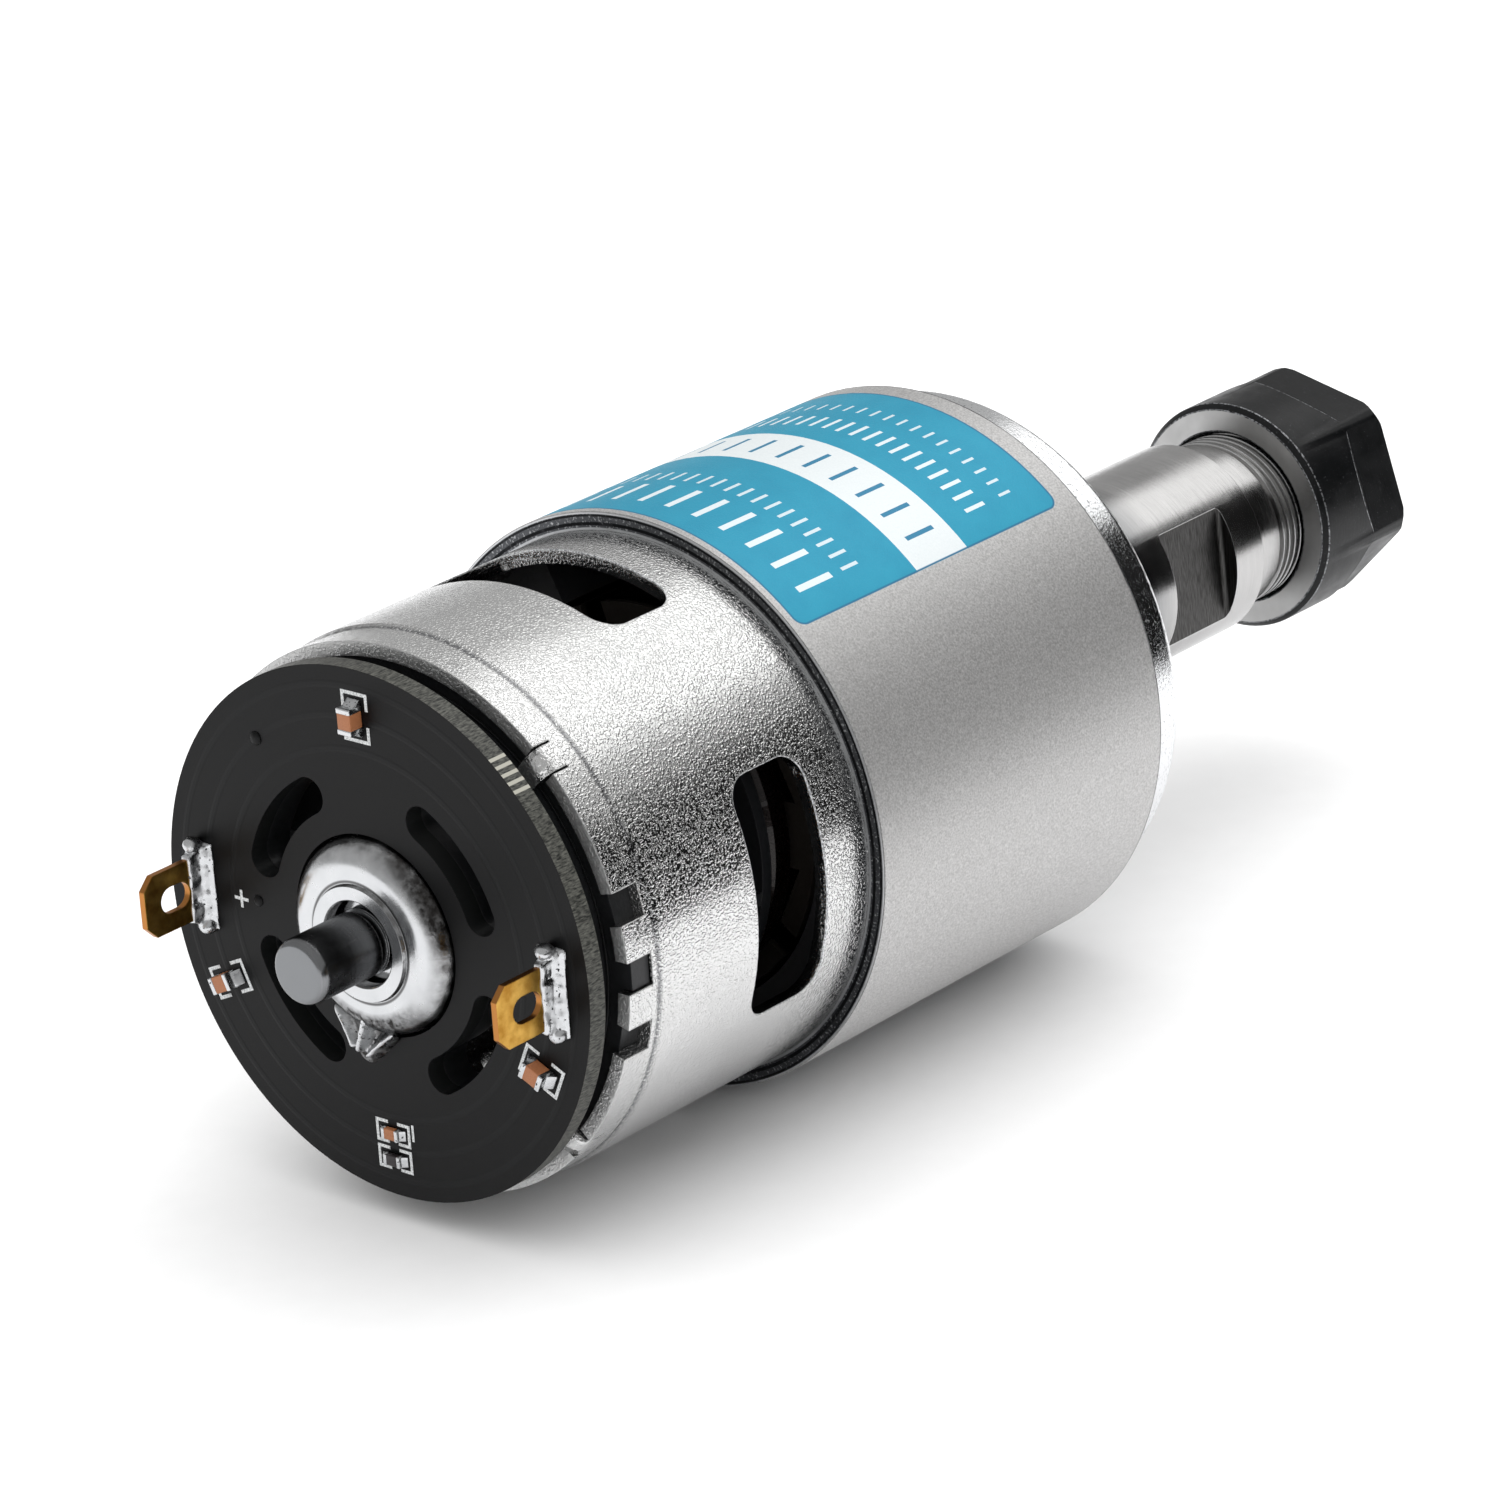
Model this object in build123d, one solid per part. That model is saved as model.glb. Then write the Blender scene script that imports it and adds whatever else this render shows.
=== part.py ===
from build123d import *
import os
from math import cos, degrees, radians, sin, tan

# A 24 V brush motor of 42 mm diameter with a shaft at both ends. Its front shaft
# carries a holder for 11 mm collets, with a collet and its clamping nut.
# X runs along the shaft, towards the collet. +Z is up. The origin is on the shaft's
# axis, in the plane of the motor's front mounting face. All sizes are millimetres.
# Angles are measured about +X, from +Y towards +Z.

# Fits
PRESS_GAP = 0.01        # radial gap drawn at pressed and bonded seats
RUN_GAP = 0.04          # radial running gap of balls in their races
SLIDE_GAP = 0.1         # gap each side of a sliding brush
TAPER_GAP = 0.03        # radial gap drawn between the collet and its socket
OVERRUN = 1.0           # how far a cutting body runs past what it cuts
EDGE_BREAK = 0.3        # small chamfer on turned edges

# Motor can
CAN_R = 21.0
CAN_WALL = 1.1
CAN_CORNER = 0.8
CAN_INNER_CORNER = 0.5
CAN_LENGTH = 63.5       # front mounting face to the open rim
NECK_LENGTH = 3.1       # reduced rim that grips the end bell
NECK_STEP = 0.2
BOSS_WALL = 0.74        # between the front bearing's seat and the boss's outside
BOSS_ROUND = 1.1
BOSS_HEIGHT = 4.5
BOSS_END_WALL = 1.0
BOSS_HOLE_R = 4.6
SCREW_SPACING = 29.0
SCREW_R = 1.65          # core hole of an M4 thread
SCREW_COLLAR_R = 2.7
SCREW_COLLAR_DEPTH = 1.4
FRONT_VENT_R = 12.6
FRONT_VENT_W = 2.8
FRONT_VENT_SPAN = 62.0
WINDOW_X = -46.0
WINDOW_LENGTH = 7.6
WINDOW_WIDTH = 18.2
WINDOW_CORNER = 2.0
WINDOW_TURN = -1.4      # the windows stand a little turned from the terminals
NOTCH_PITCH = 14.2      # degrees between the three notches on each side of the rim
NOTCH_WIDTH = 2.4
NOTCH_DEPTH = 2.5
CRIMP_ANGLE = 45.0
CRIMP_SPAN = 6.6
CRIMP_REACH = 2.1
CRIMP_DEPTH = 1.6
CRIMP_SIDE_GAP = 0.5    # degrees of relief cut beside each crimped tab
CRIMP_ROUND = 1.3

# Flux ring and its printed foil label
RING_FRONT_X = -4.3
RING_LENGTH = 33.2
RING_T = 1.36
RING_SEAM_ANGLE = 295.0
RING_SEAM_GAP = 0.8
LABEL_T = 0.08
LABEL_OPEN_SPAN = 46.0  # uncovered stretch under the motor
LABEL_MARGIN = 0.1

# Magnets
MAGNET_LENGTH = 32.0
MAGNET_FRONT_X = -5.2
MAGNET_SPAN = 126.0
AIR_GAP = 0.5
CLIP_LENGTH = 24.0
CLIP_T = 0.5
CLIP_LEG = 2.4
CLIP_LEG_SPAN = 1.6     # degrees
CLIP_END_GAP = 0.5      # degrees between the clip and each magnet

# Shaft and armature
SHAFT_R = 2.5
SHAFT_REAR_X = -75.04
SHAFT_FRONT_X = 22.4
CLIP_GROOVE_X = -68.95  # shallow groove behind the rear bearing cup
CLIP_GROOVE_W = 0.7
CLIP_GROOVE_DEPTH = 0.2
CORE_R = 15.4
CORE_FRONT_X = -8.5
CORE_LENGTH = 28.0
CORE_TEETH = 5
TOOTH_W = 5.2
SLOT_HUB_T = 3.3        # iron between the shaft and the slots
SLOT_TIP_T = 2.6        # iron between the slots and the core's outside
SLOT_OPENING_W = 2.2
SLOT_NECK = 0.9         # height of the slot's tapered neck
SLOT_LINER = 0.3        # gap round the copper in a slot
SHEET_T = 0.5
HEAD_STEP = 1.2         # the copper heads stand this far inside the core's outside
HEAD_INNER_T = 2.8
HEAD_FRONT_T = 4.2
HEAD_REAR_T = 4.0
HEAD_CHAMFER = 1.2
COPPER_OVERLAP = 0.5    # how far bundles and leads run into the heads
LEAD_R = 0.45
LEAD_GAP = 0.1          # between a bar's hook and the lead beside it

# Commutator
BAR_COUNT = 5
BAR_REAR_X = -60.0
BAR_FRONT_X = -50.3
BAR_R = 5.0
BAR_T = 1.0
BAR_SLOT = 0.6
HOOK_R = 6.4
HOOK_T = 1.1
HOOK_W = 2.4
COLLAR_T = 0.6
COLLAR_STEP = 0.2
FRONT_SPACER_R = 3.8
REAR_SPACER_R = 3.4

# Cooling fan
FAN_REAR_X = -49.6
FAN_FRONT_X = -41.6
FAN_R = 15.3
FAN_BLADE_INNER_R = 8.0
FAN_BLADES = 9
FAN_BLADE_T = 1.1
FAN_BLADE_CURVE_R = 9.5
FAN_BLADE_LEAN = 28.0
FAN_HUB_R = 4.8
FAN_WEB_T = 1.0
FAN_TIP_STEP = 0.1      # the blades stop just inside the web's edge
LEAD_HOLE_GAP = 0.15

# Ball bearings: 5 x 16 x 5 in front, 5 x 13 x 4 behind
FRONT_BEARING_R = 8.0
FRONT_BEARING_W = 5.0
FRONT_BALL_R = 1.5
REAR_BEARING_R = 6.5
REAR_BEARING_W = 4.0
REAR_BALL_R = 1.19
BALLS = 8
LAND_SHARE = 0.62       # height of a race's shoulder, as a share of the ball's radius
CAGE_T = 0.6
CAGE_MARGIN = 0.3
POCKET_GAP = 0.06
SHIELD_T = 0.25
SHIELD_RECESS = 0.36
SHIELD_STEP = 0.3
SHIELD_GAP = 0.15

# Rear bearing cup
CUP_WALL = 0.99
CUP_REAR_X = -68.55
CUP_SHOULDER_R = 2.2
CUP_COIN_W = 1.22       # raised ring round the hole
CUP_COIN_HEIGHT = 0.32
CUP_COIN_CHAMFER = 0.12
CUP_HOLE_GAP = 0.73     # between the shaft and the hole's edge
CUP_FLANGE_W = 1.6
CUP_FLANGE_T = 1.0
WASHER_T = 0.2
WASHER_RISE = 0.5
WASHER_W = 1.07
WASHER_OUTER_GAP = 0.5

# End bell
BELL_FLANGE_X = -62.9
BELL_FLANGE_T = 2.5
PLATFORM_R = 18.2
BELL_HUB_T = 1.89
BELL_PLATE_T = 2.4
BELL_SKIRT_LENGTH = 4.9
BELL_SKIRT_T = 1.3
BELL_KEY_R = 20.5
POST_T = 1.8
POST_INNER_Y = 9.5

# Circuit board
BOARD_R = 20.2
BOARD_T = 1.6
BOARD_REAR_X = -67.0
BOARD_HOLE_GAP = 0.15
VENT_R = 11.0
VENT_W = 2.8
VENT_ANGLE = 40.0
VENT_SPAN = 41.0

# Terminals
TAB_Y = 17.0
TAB_T = 0.5
TAB_W = 4.75
TAB_OUT = 6.2
TAB_SHIFT_Z = 0.4
TAB_CHAMFER = 0.95
TAB_HOLE_L = 2.9
TAB_HOLE_W = 2.0
TAB_HOLE_X = -70.15
TAB_SLOT_GAP = 0.1
SOLDER_HEIGHT = 1.8
SOLDER_BASE_W = 2.5
SOLDER_BASE_L = 7.2
SOLDER_TOP_W = 0.8
SOLDER_TOP_L = 4.9
GROUND_SOLDER_T = 1.0
GROUND_SOLDER_TAPER = 32.0
GROUND_SOLDER_FOOT = ((3.4, -7.0), (-1.5, -7.0), (-0.6, -8.3), (1.0, -8.9), (2.5, -10.0))

# Small parts on the board
CAPACITOR_R = 16.6
CAPACITOR_ANGLES = (90.0, 204.5, 336.0)
CAPACITOR_SIZE = (1.25, 2.0, 1.25)
RESISTOR_ZS = (-15.3, -17.35)
RESISTOR_SIZE = (0.5, 1.6, 0.85)

# Brush gear
BRUSH_X = -55.5
BRUSH_W = 5.0
BRUSH_H = 4.0
BRUSH_LENGTH = 7.3
BRUSH_FACE_GAP = 0.06
BOX_WALL = 0.4
BOX_INNER_Y = 6.7
LEAD_SLOT_W = 1.0
LEAD_SLOT_INNER_Y = 9.2
SPRING_R = 1.55
SPRING_WIRE_R = 0.22
SPRING_TURNS = 5
SPRING_SEAT_GAP = 0.12

# Collet holder
HOLDER_REAR_X = 6.4
HOLDER_R = 8.0
HOLDER_SHOULDER_X = 28.9
HOLDER_FRONT_X = 40.4
HOLDER_CHAMFER = 0.5
SHOULDER_CHAMFER = 0.2
FLATS_ROUND = 0.4
SOCKET_FLOOR_GAP = 0.6
NECK_R = 6.95
THREAD_X = 32.3
THREAD_ROOT_R = 6.54
FLATS_ACROSS = 13.0
FLATS_X = 17.1
FLATS_WIDTH = 8.0
FLATS_TURN = -3.4
SHAFT_BORE_END_X = 24.0
RELIEF_R = 3.0
TAPER_ANGLE = 8.0
GAUGE_R = 5.5           # radius of the 8 degree taper at the holder's front face

# Collet
COLLET_STAND_OUT = 6.1  # the closed collet's face, in front of the holder's
COLLET_LENGTH = 18.0
COLLET_BORE_R = 1.5875
COLLET_GRIP = 12.0
COLLET_RELIEF_R = 2.2
COLLET_FACE_R = 4.6
COLLET_HEAD_R = 5.65
COLLET_HEAD_LAND = 0.48
GROOVE_R = 4.9
GROOVE_W = 1.8
FRONT_CONE_ANGLE = 30.0
SLITS = 6
SLIT_W = 0.45
SLIT_SOLID_END = 3.0

# Clamping nut
NUT_FACE_STEP = 0.04    # the nut's face, behind the collet's
NUT_LENGTH = 11.3
NUT_R = 9.5
NUT_ACROSS_FLATS = 17.0
NUT_HEX_LENGTH = 4.55
NUT_RUNOUT = 1.4
NUT_TURN = 43.6
NUT_BORE_GAP = 0.1      # between the thread's crests and the nut's bore
NUT_MOUTH_STEP = 0.21
NUT_REAR_CHAMFER = 0.45
NUT_RING_GAP = 0.3
NUT_CONE_GAP = 0.12


def turned(points):
    """A solid turned about the shaft's axis from a closed (x, r) outline."""
    return revolve(make_face(Polyline(*points, close=True)), Axis.X)


def turned_round(corners):
    """The same from (x, r, corner radius) points."""
    points = [(x, r) for x, r, _ in corners]
    radii = [radius for _, _, radius in corners]
    return revolve(make_face(FilletPolyline(*points, radius=radii, close=True)), Axis.X)


def tube(x_start, x_end, inner_r, outer_r):
    return turned([(x_start, inner_r), (x_end, inner_r), (x_end, outer_r), (x_start, outer_r)])


def rod(x_start, x_end, radius):
    return turned([(x_start, 0), (x_end, 0), (x_end, radius), (x_start, radius)])


def block(x_range, y_range, z_range):
    spans = [(high - low, (high + low) / 2) for low, high in (x_range, y_range, z_range)]
    (dx, cx), (dy, cy), (dz, cz) = spans
    return Pos(cx, cy, cz) * Box(dx, dy, dz)


def about_x(shape, angle):
    return Rot(angle, 0, 0) * shape


def ring_of(shape, count, start=0.0):
    return [about_x(shape, start + 360.0 * i / count) for i in range(count)]


def prism(sketch, x_start, x_end):
    """A cross-section in (y, z), drawn out along the shaft."""
    return extrude(Plane.YZ.offset(x_start) * sketch, x_end - x_start)


def sector(x_start, x_end, inner_r, outer_r, middle, span):
    """A curved bar of the given angular span."""
    outline = Polyline((x_start, inner_r), (x_end, inner_r), (x_end, outer_r), (x_start, outer_r),
                       close=True)
    return about_x(revolve(make_face(outline), Axis.X, span), middle - span / 2)


def kidney(x_start, x_end, middle_r, width, middle, span):
    """A curved slot with round ends, about the shaft."""
    body = sector(x_start, x_end, middle_r - width / 2, middle_r + width / 2, middle, span)
    ends = []
    for angle in (middle - span / 2, middle + span / 2):
        y = middle_r * cos(radians(angle))
        z = middle_r * sin(radians(angle))
        ends.append(prism(Pos(y, z) * Circle(width / 2), x_start, x_end))
    return body + ends


def group(solids):
    return Compound(children=list(solids))


# Places that follow from the sizes above
can_inner_r = CAN_R - CAN_WALL
boss_r = FRONT_BEARING_R + PRESS_GAP + BOSS_WALL
ring_r = CAN_R + PRESS_GAP + RING_T
cup_inner_r = REAR_BEARING_R + PRESS_GAP
cup_r = cup_inner_r + CUP_WALL
cup_hole_r = SHAFT_R + CUP_HOLE_GAP
cup_flange_r = cup_r + CUP_FLANGE_W
bell_hub_inner_r = cup_r + PRESS_GAP
bell_hub_r = bell_hub_inner_r + BELL_HUB_T
slot_bottom_r = SHAFT_R + SLOT_HUB_T
slot_top_r = CORE_R - SLOT_TIP_T
head_r = CORE_R - HEAD_STEP
head_inner_r = SHAFT_R + HEAD_INNER_T
lead_circle_r = HOOK_R + LEAD_GAP + LEAD_R
nut_bore_r = NECK_R + NUT_BORE_GAP
nut_mouth_r = nut_bore_r + NUT_MOUTH_STEP
neck_r = CAN_R - NECK_STEP
neck_inner_r = neck_r - CAN_WALL
rim_x = -CAN_LENGTH
front_bearing_x = BOSS_HEIGHT - BOSS_END_WALL - FRONT_BEARING_W
ring_rear_x = RING_FRONT_X - RING_LENGTH
board_front_x = BOARD_REAR_X + BOARD_T
bell_flange_front_x = BELL_FLANGE_X + BELL_FLANGE_T
cup_floor_x = CUP_REAR_X + CUP_WALL - CUP_COIN_HEIGHT
rear_bearing_x = cup_floor_x + WASHER_RISE
core_rear_x = CORE_FRONT_X - CORE_LENGTH
head_front_x = CORE_FRONT_X + SHEET_T
head_rear_x = core_rear_x - SHEET_T
magnet_inner_r = CORE_R + AIR_GAP
collet_front_x = HOLDER_FRONT_X + COLLET_STAND_OUT
collet_rear_x = collet_front_x - COLLET_LENGTH
head_cone = (COLLET_HEAD_R - COLLET_FACE_R) / tan(radians(FRONT_CONE_ANGLE))
head_rear_edge_x = collet_front_x - head_cone - COLLET_HEAD_LAND
groove_rear_x = head_rear_edge_x - GROOVE_W
nut_front_x = collet_front_x - NUT_FACE_STEP
nut_rear_x = nut_front_x - NUT_LENGTH
collar_x = BAR_REAR_X - COLLAR_T


def collet_r(x):
    """Radius of the collet's long taper at x."""
    return GAUGE_R + (x - HOLDER_FRONT_X) * tan(radians(TAPER_ANGLE))


def motor_can():
    """Drawn steel can: boss in front, four windows, a notched and crimped rim behind."""
    seat_r = FRONT_BEARING_R + PRESS_GAP
    bearing_stop_x = BOSS_HEIGHT - BOSS_END_WALL
    step_x = rim_x + NECK_LENGTH + NECK_STEP * 2
    shell = turned_round([
        (rim_x, neck_r, 0), (rim_x + NECK_LENGTH, neck_r, 0), (step_x, CAN_R, 0),
        (0, CAN_R, CAN_CORNER), (0, boss_r, 0), (BOSS_HEIGHT, boss_r, BOSS_ROUND),
        (BOSS_HEIGHT, BOSS_HOLE_R, 0), (bearing_stop_x, BOSS_HOLE_R, 0), (bearing_stop_x, seat_r, 0),
        (-CAN_WALL, seat_r, 0), (-CAN_WALL, can_inner_r - CAN_INNER_CORNER, 0),
        (-CAN_WALL - CAN_INNER_CORNER, can_inner_r, 0), (step_x, can_inner_r, 0),
        (rim_x + NECK_LENGTH, neck_inner_r, 0), (rim_x, neck_inner_r, 0)])
    collar = rod(-CAN_WALL - SCREW_COLLAR_DEPTH, -CAN_WALL / 2, SCREW_COLLAR_R)
    screw = rod(-SCREW_COLLAR_DEPTH - CAN_WALL * 2, CAN_WALL, SCREW_R)
    offsets = [Pos(0, side * SCREW_SPACING / 2, 0) for side in (-1, 1)]
    shell += [place * collar for place in offsets]
    shell -= [place * screw for place in offsets]
    shell -= [kidney(-CAN_WALL * 2, CAN_WALL, FRONT_VENT_R, FRONT_VENT_W, middle, FRONT_VENT_SPAN)
              for middle in (90, 270)]

    punch = extrude(
        Plane.XY.offset(CORE_R) * Pos(WINDOW_X, 0)
        * RectangleRounded(WINDOW_LENGTH, WINDOW_WIDTH, WINDOW_CORNER), CAN_R)
    shell -= ring_of(punch, 4, WINDOW_TURN)

    notch = block((rim_x - OVERRUN, rim_x + NOTCH_DEPTH), (CORE_R, CAN_R + OVERRUN),
                  (-NOTCH_WIDTH / 2, NOTCH_WIDTH / 2))
    shell -= [about_x(notch, side + step * NOTCH_PITCH) for side in (0, 180) for step in (-1, 0, 1)]

    tab_x = BELL_FLANGE_X - CAN_WALL
    tab_span = CRIMP_SPAN - 2 * CRIMP_SIDE_GAP
    tab = revolve(make_face(FilletPolyline(
        (rim_x + CRIMP_DEPTH, neck_inner_r + PRESS_GAP), (BELL_FLANGE_X, neck_inner_r + PRESS_GAP),
        (BELL_FLANGE_X, neck_r - CRIMP_REACH), (tab_x, neck_r - CRIMP_REACH), (tab_x, neck_r),
        (rim_x + CRIMP_DEPTH, neck_r), radius=[0, 0, 0, 0, CRIMP_ROUND, 0], close=True)),
        Axis.X, tab_span)
    for side in range(4):
        middle = CRIMP_ANGLE + 90.0 * side + WINDOW_TURN
        gap = sector(rim_x - OVERRUN, rim_x + CRIMP_DEPTH, neck_inner_r - OVERRUN, CAN_R + OVERRUN,
                     middle, CRIMP_SPAN)
        shell = shell - gap + about_x(tab, middle - tab_span / 2)
    return shell


def flux_ring():
    """Thick strip rolled round the can, with its seam on the far side."""
    ring = tube(ring_rear_x, RING_FRONT_X, CAN_R + PRESS_GAP, ring_r)
    seam = block((ring_rear_x - OVERRUN, RING_FRONT_X + OVERRUN), (CAN_R - OVERRUN, ring_r + OVERRUN),
                 (-RING_SEAM_GAP / 2, RING_SEAM_GAP / 2))
    return ring - about_x(seam, RING_SEAM_ANGLE)


def foil_label():
    """Foil wrapped round the flux ring, open underneath."""
    return sector(ring_rear_x + LABEL_MARGIN, RING_FRONT_X - LABEL_MARGIN, ring_r, ring_r + LABEL_T,
                  90, 360 - LABEL_OPEN_SPAN)


def magnet(middle):
    return sector(MAGNET_FRONT_X - MAGNET_LENGTH, MAGNET_FRONT_X, magnet_inner_r,
                  can_inner_r - PRESS_GAP, middle, MAGNET_SPAN)


def magnet_clip(middle):
    """Spring-steel strip that pushes the two magnets apart, with a leg on each."""
    span = 180.0 - MAGNET_SPAN - 2 * CLIP_END_GAP
    outer_r = can_inner_r - PRESS_GAP
    rear_x = MAGNET_FRONT_X - MAGNET_LENGTH / 2 - CLIP_LENGTH / 2
    front_x = rear_x + CLIP_LENGTH
    leg_r = outer_r - CLIP_T
    back = sector(rear_x, front_x, leg_r, outer_r, middle, span)
    legs = [sector(rear_x, front_x, leg_r - CLIP_LEG, leg_r, middle + side * (span - CLIP_LEG_SPAN) / 2,
                   CLIP_LEG_SPAN) for side in (-1, 1)]
    return back + legs


def ball_bearing(rear_x, width, outer_r, ball_r):
    """A shielded deep-groove bearing, as separate rings, balls, cage and shields."""
    pitch_r = (SHAFT_R + outer_r) / 2
    middle_x = rear_x + width / 2
    front_x = rear_x + width
    land = ball_r * LAND_SHARE
    outer_land_r = pitch_r + land
    inner_land_r = pitch_r - land
    race = turned_groove(middle_x, pitch_r, ball_r + RUN_GAP)
    recess_r = outer_land_r + SHIELD_STEP
    outer = turned([
        (rear_x, recess_r), (rear_x + SHIELD_RECESS, recess_r), (rear_x + SHIELD_RECESS, outer_land_r),
        (front_x - SHIELD_RECESS, outer_land_r), (front_x - SHIELD_RECESS, recess_r),
        (front_x, recess_r), (front_x, outer_r), (rear_x, outer_r)]) - race
    inner = tube(rear_x, front_x, SHAFT_R + PRESS_GAP, inner_land_r) - race
    ball = Pos(middle_x, pitch_r, 0) * Sphere(ball_r)
    cage_half = ball_r + CAGE_MARGIN
    cage = tube(middle_x - cage_half, middle_x + cage_half, pitch_r - CAGE_T / 2, pitch_r + CAGE_T / 2)
    pocket = Pos(middle_x, pitch_r, 0) * Rot(90, 0, 0) * Cylinder(ball_r + POCKET_GAP, pitch_r)
    cage -= ring_of(pocket, BALLS)
    shield_xs = (rear_x + SHIELD_RECESS - SHIELD_T, front_x - SHIELD_RECESS)
    shields = [tube(x, x + SHIELD_T, inner_land_r + SHIELD_GAP, recess_r - PRESS_GAP) for x in shield_xs]
    return {"outer_ring": outer, "inner_ring": inner, "balls": group(ring_of(ball, BALLS)),
            "cage": cage, "shields": group(shields)}


def turned_groove(middle_x, pitch_r, radius):
    """The ring-shaped space that the balls run in."""
    return revolve(Pos(middle_x, pitch_r) * Circle(radius), Axis.X)


def bearing_cup():
    """Drawn steel cup that holds the rear bearing and shows through the board."""
    coin_x = CUP_REAR_X - CUP_COIN_HEIGHT
    coin_r = cup_hole_r + CUP_COIN_W
    flange_x = bell_flange_front_x + CUP_FLANGE_T
    return turned_round([
        (flange_x, cup_flange_r, 0), (bell_flange_front_x, cup_flange_r, 0),
        (bell_flange_front_x, cup_r, 0), (CUP_REAR_X, cup_r, CUP_SHOULDER_R),
        (CUP_REAR_X, coin_r, 0), (coin_x, coin_r - CUP_COIN_CHAMFER, 0),
        (coin_x, cup_hole_r + CUP_COIN_CHAMFER, 0), (coin_x + CUP_COIN_CHAMFER, cup_hole_r, 0),
        (cup_floor_x, cup_hole_r, 0), (cup_floor_x, cup_inner_r, 0), (flange_x, cup_inner_r, 0)])


def spring_washer():
    """Dished washer that loads the rear bearing."""
    rise = WASHER_RISE - WASHER_T
    large_r = REAR_BEARING_R - WASHER_OUTER_GAP
    small_r = large_r - WASHER_W
    return turned([(cup_floor_x, large_r), (cup_floor_x + WASHER_T, large_r),
                   (cup_floor_x + WASHER_RISE, small_r), (cup_floor_x + rise, small_r)])


def rear_vents(x_start, x_end):
    """Four cooling slots, the same in the board and in the end bell."""
    middles = (VENT_ANGLE, 180 - VENT_ANGLE, 180 + VENT_ANGLE, 360 - VENT_ANGLE)
    return [kidney(x_start, x_end, VENT_R, VENT_W, middle, VENT_SPAN) for middle in middles]


def tab_slot(side, x_start, x_end):
    """Slot that a terminal passes through."""
    half_t = TAB_T / 2 + TAB_SLOT_GAP
    half_w = TAB_W / 2 + TAB_SLOT_GAP
    y = side * TAB_Y
    z = side * TAB_SHIFT_Z
    return block((x_start, x_end), (y - half_t, y + half_t), (z - half_w, z + half_w))


def end_bell():
    """Moulded carrier of the brushes, the rear bearing cup and the board."""
    outer_r = neck_inner_r - PRESS_GAP
    plate_front_x = board_front_x + BELL_PLATE_T
    skirt_x = bell_flange_front_x + BELL_SKIRT_LENGTH
    skirt_inner_r = outer_r - BELL_SKIRT_T
    bell = turned([
        (board_front_x, bell_hub_inner_r), (board_front_x, PLATFORM_R), (BELL_FLANGE_X, PLATFORM_R),
        (BELL_FLANGE_X, outer_r), (skirt_x, outer_r), (skirt_x, skirt_inner_r),
        (plate_front_x, skirt_inner_r), (plate_front_x, bell_hub_r),
        (bell_flange_front_x, bell_hub_r), (bell_flange_front_x, bell_hub_inner_r)])
    bell -= rear_vents(board_front_x - OVERRUN, plate_front_x + OVERRUN)

    key_half = NOTCH_WIDTH / 2 - SLIDE_GAP
    key = block((BELL_FLANGE_X, rim_x + NOTCH_DEPTH - SLIDE_GAP), (outer_r - OVERRUN, BELL_KEY_R),
                (-key_half, key_half))
    bell += [about_x(key, side) for side in (0, 180)]

    box_half_h = BRUSH_H / 2 + SLIDE_GAP + BOX_WALL
    box_half_w = BRUSH_W / 2 + SLIDE_GAP + BOX_WALL
    post_y = (POST_INNER_Y, TAB_Y - TAB_T / 2)
    post_inner = box_half_h + PRESS_GAP
    pad = block((plate_front_x, BRUSH_X - box_half_w), post_y, (-post_inner, post_inner))
    posts = [pad]
    for sign in (-1, 1):
        z_pair = sorted((sign * post_inner, sign * (post_inner + POST_T)))
        posts.append(block((plate_front_x, BRUSH_X + BRUSH_W / 2), post_y, z_pair))
    for side in (0, 180):
        bell += [about_x(post, side) for post in posts]
    for side in (-1, 1):
        bell -= tab_slot(side, board_front_x - OVERRUN, skirt_x + OVERRUN)
    return bell


def circuit_board():
    """Round board with a hole for the bearing cup, four vents and two terminal slots."""
    board = tube(BOARD_REAR_X, board_front_x, cup_r + BOARD_HOLE_GAP, BOARD_R)
    board -= rear_vents(BOARD_REAR_X - OVERRUN, board_front_x + OVERRUN)
    for side in (-1, 1):
        board -= tab_slot(side, BOARD_REAR_X - OVERRUN, board_front_x + OVERRUN)
    return board


def terminal(side):
    """Brass blade from the brush box through the board, with a hole for a wire."""
    rear_x = BOARD_REAR_X - TAB_OUT
    front_x = BRUSH_X + BRUSH_W / 2
    z = side * TAB_SHIFT_Z
    low_z = z - TAB_W / 2
    high_z = z + TAB_W / 2
    outline = Polyline(
        (rear_x, low_z + TAB_CHAMFER), (rear_x + TAB_CHAMFER, low_z), (front_x, low_z),
        (front_x, high_z), (rear_x + TAB_CHAMFER, high_z), (rear_x, high_z - TAB_CHAMFER), close=True)
    hole = Pos(TAB_HOLE_X, z) * SlotOverall(TAB_HOLE_L, TAB_HOLE_W)
    blade = extrude(Plane.XZ * (make_face(outline) - hole), TAB_T / 2, both=True)
    return Pos(0, side * TAB_Y, 0) * blade


def terminal_solder():
    """A fillet of solder round each blade, on the board's rear face."""
    fillets = []
    for side in (-1, 1):
        place = Pos(0, side * TAB_Y, side * TAB_SHIFT_Z)
        base = Plane.YZ.offset(BOARD_REAR_X) * RectangleRounded(SOLDER_BASE_W, SOLDER_BASE_L, 0.8)
        top = (Plane.YZ.offset(BOARD_REAR_X - SOLDER_HEIGHT)
               * RectangleRounded(SOLDER_TOP_W, SOLDER_TOP_L, 0.2))
        fillets.append(place * loft([base, top]) - terminal(side))
    return group(fillets)


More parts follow.
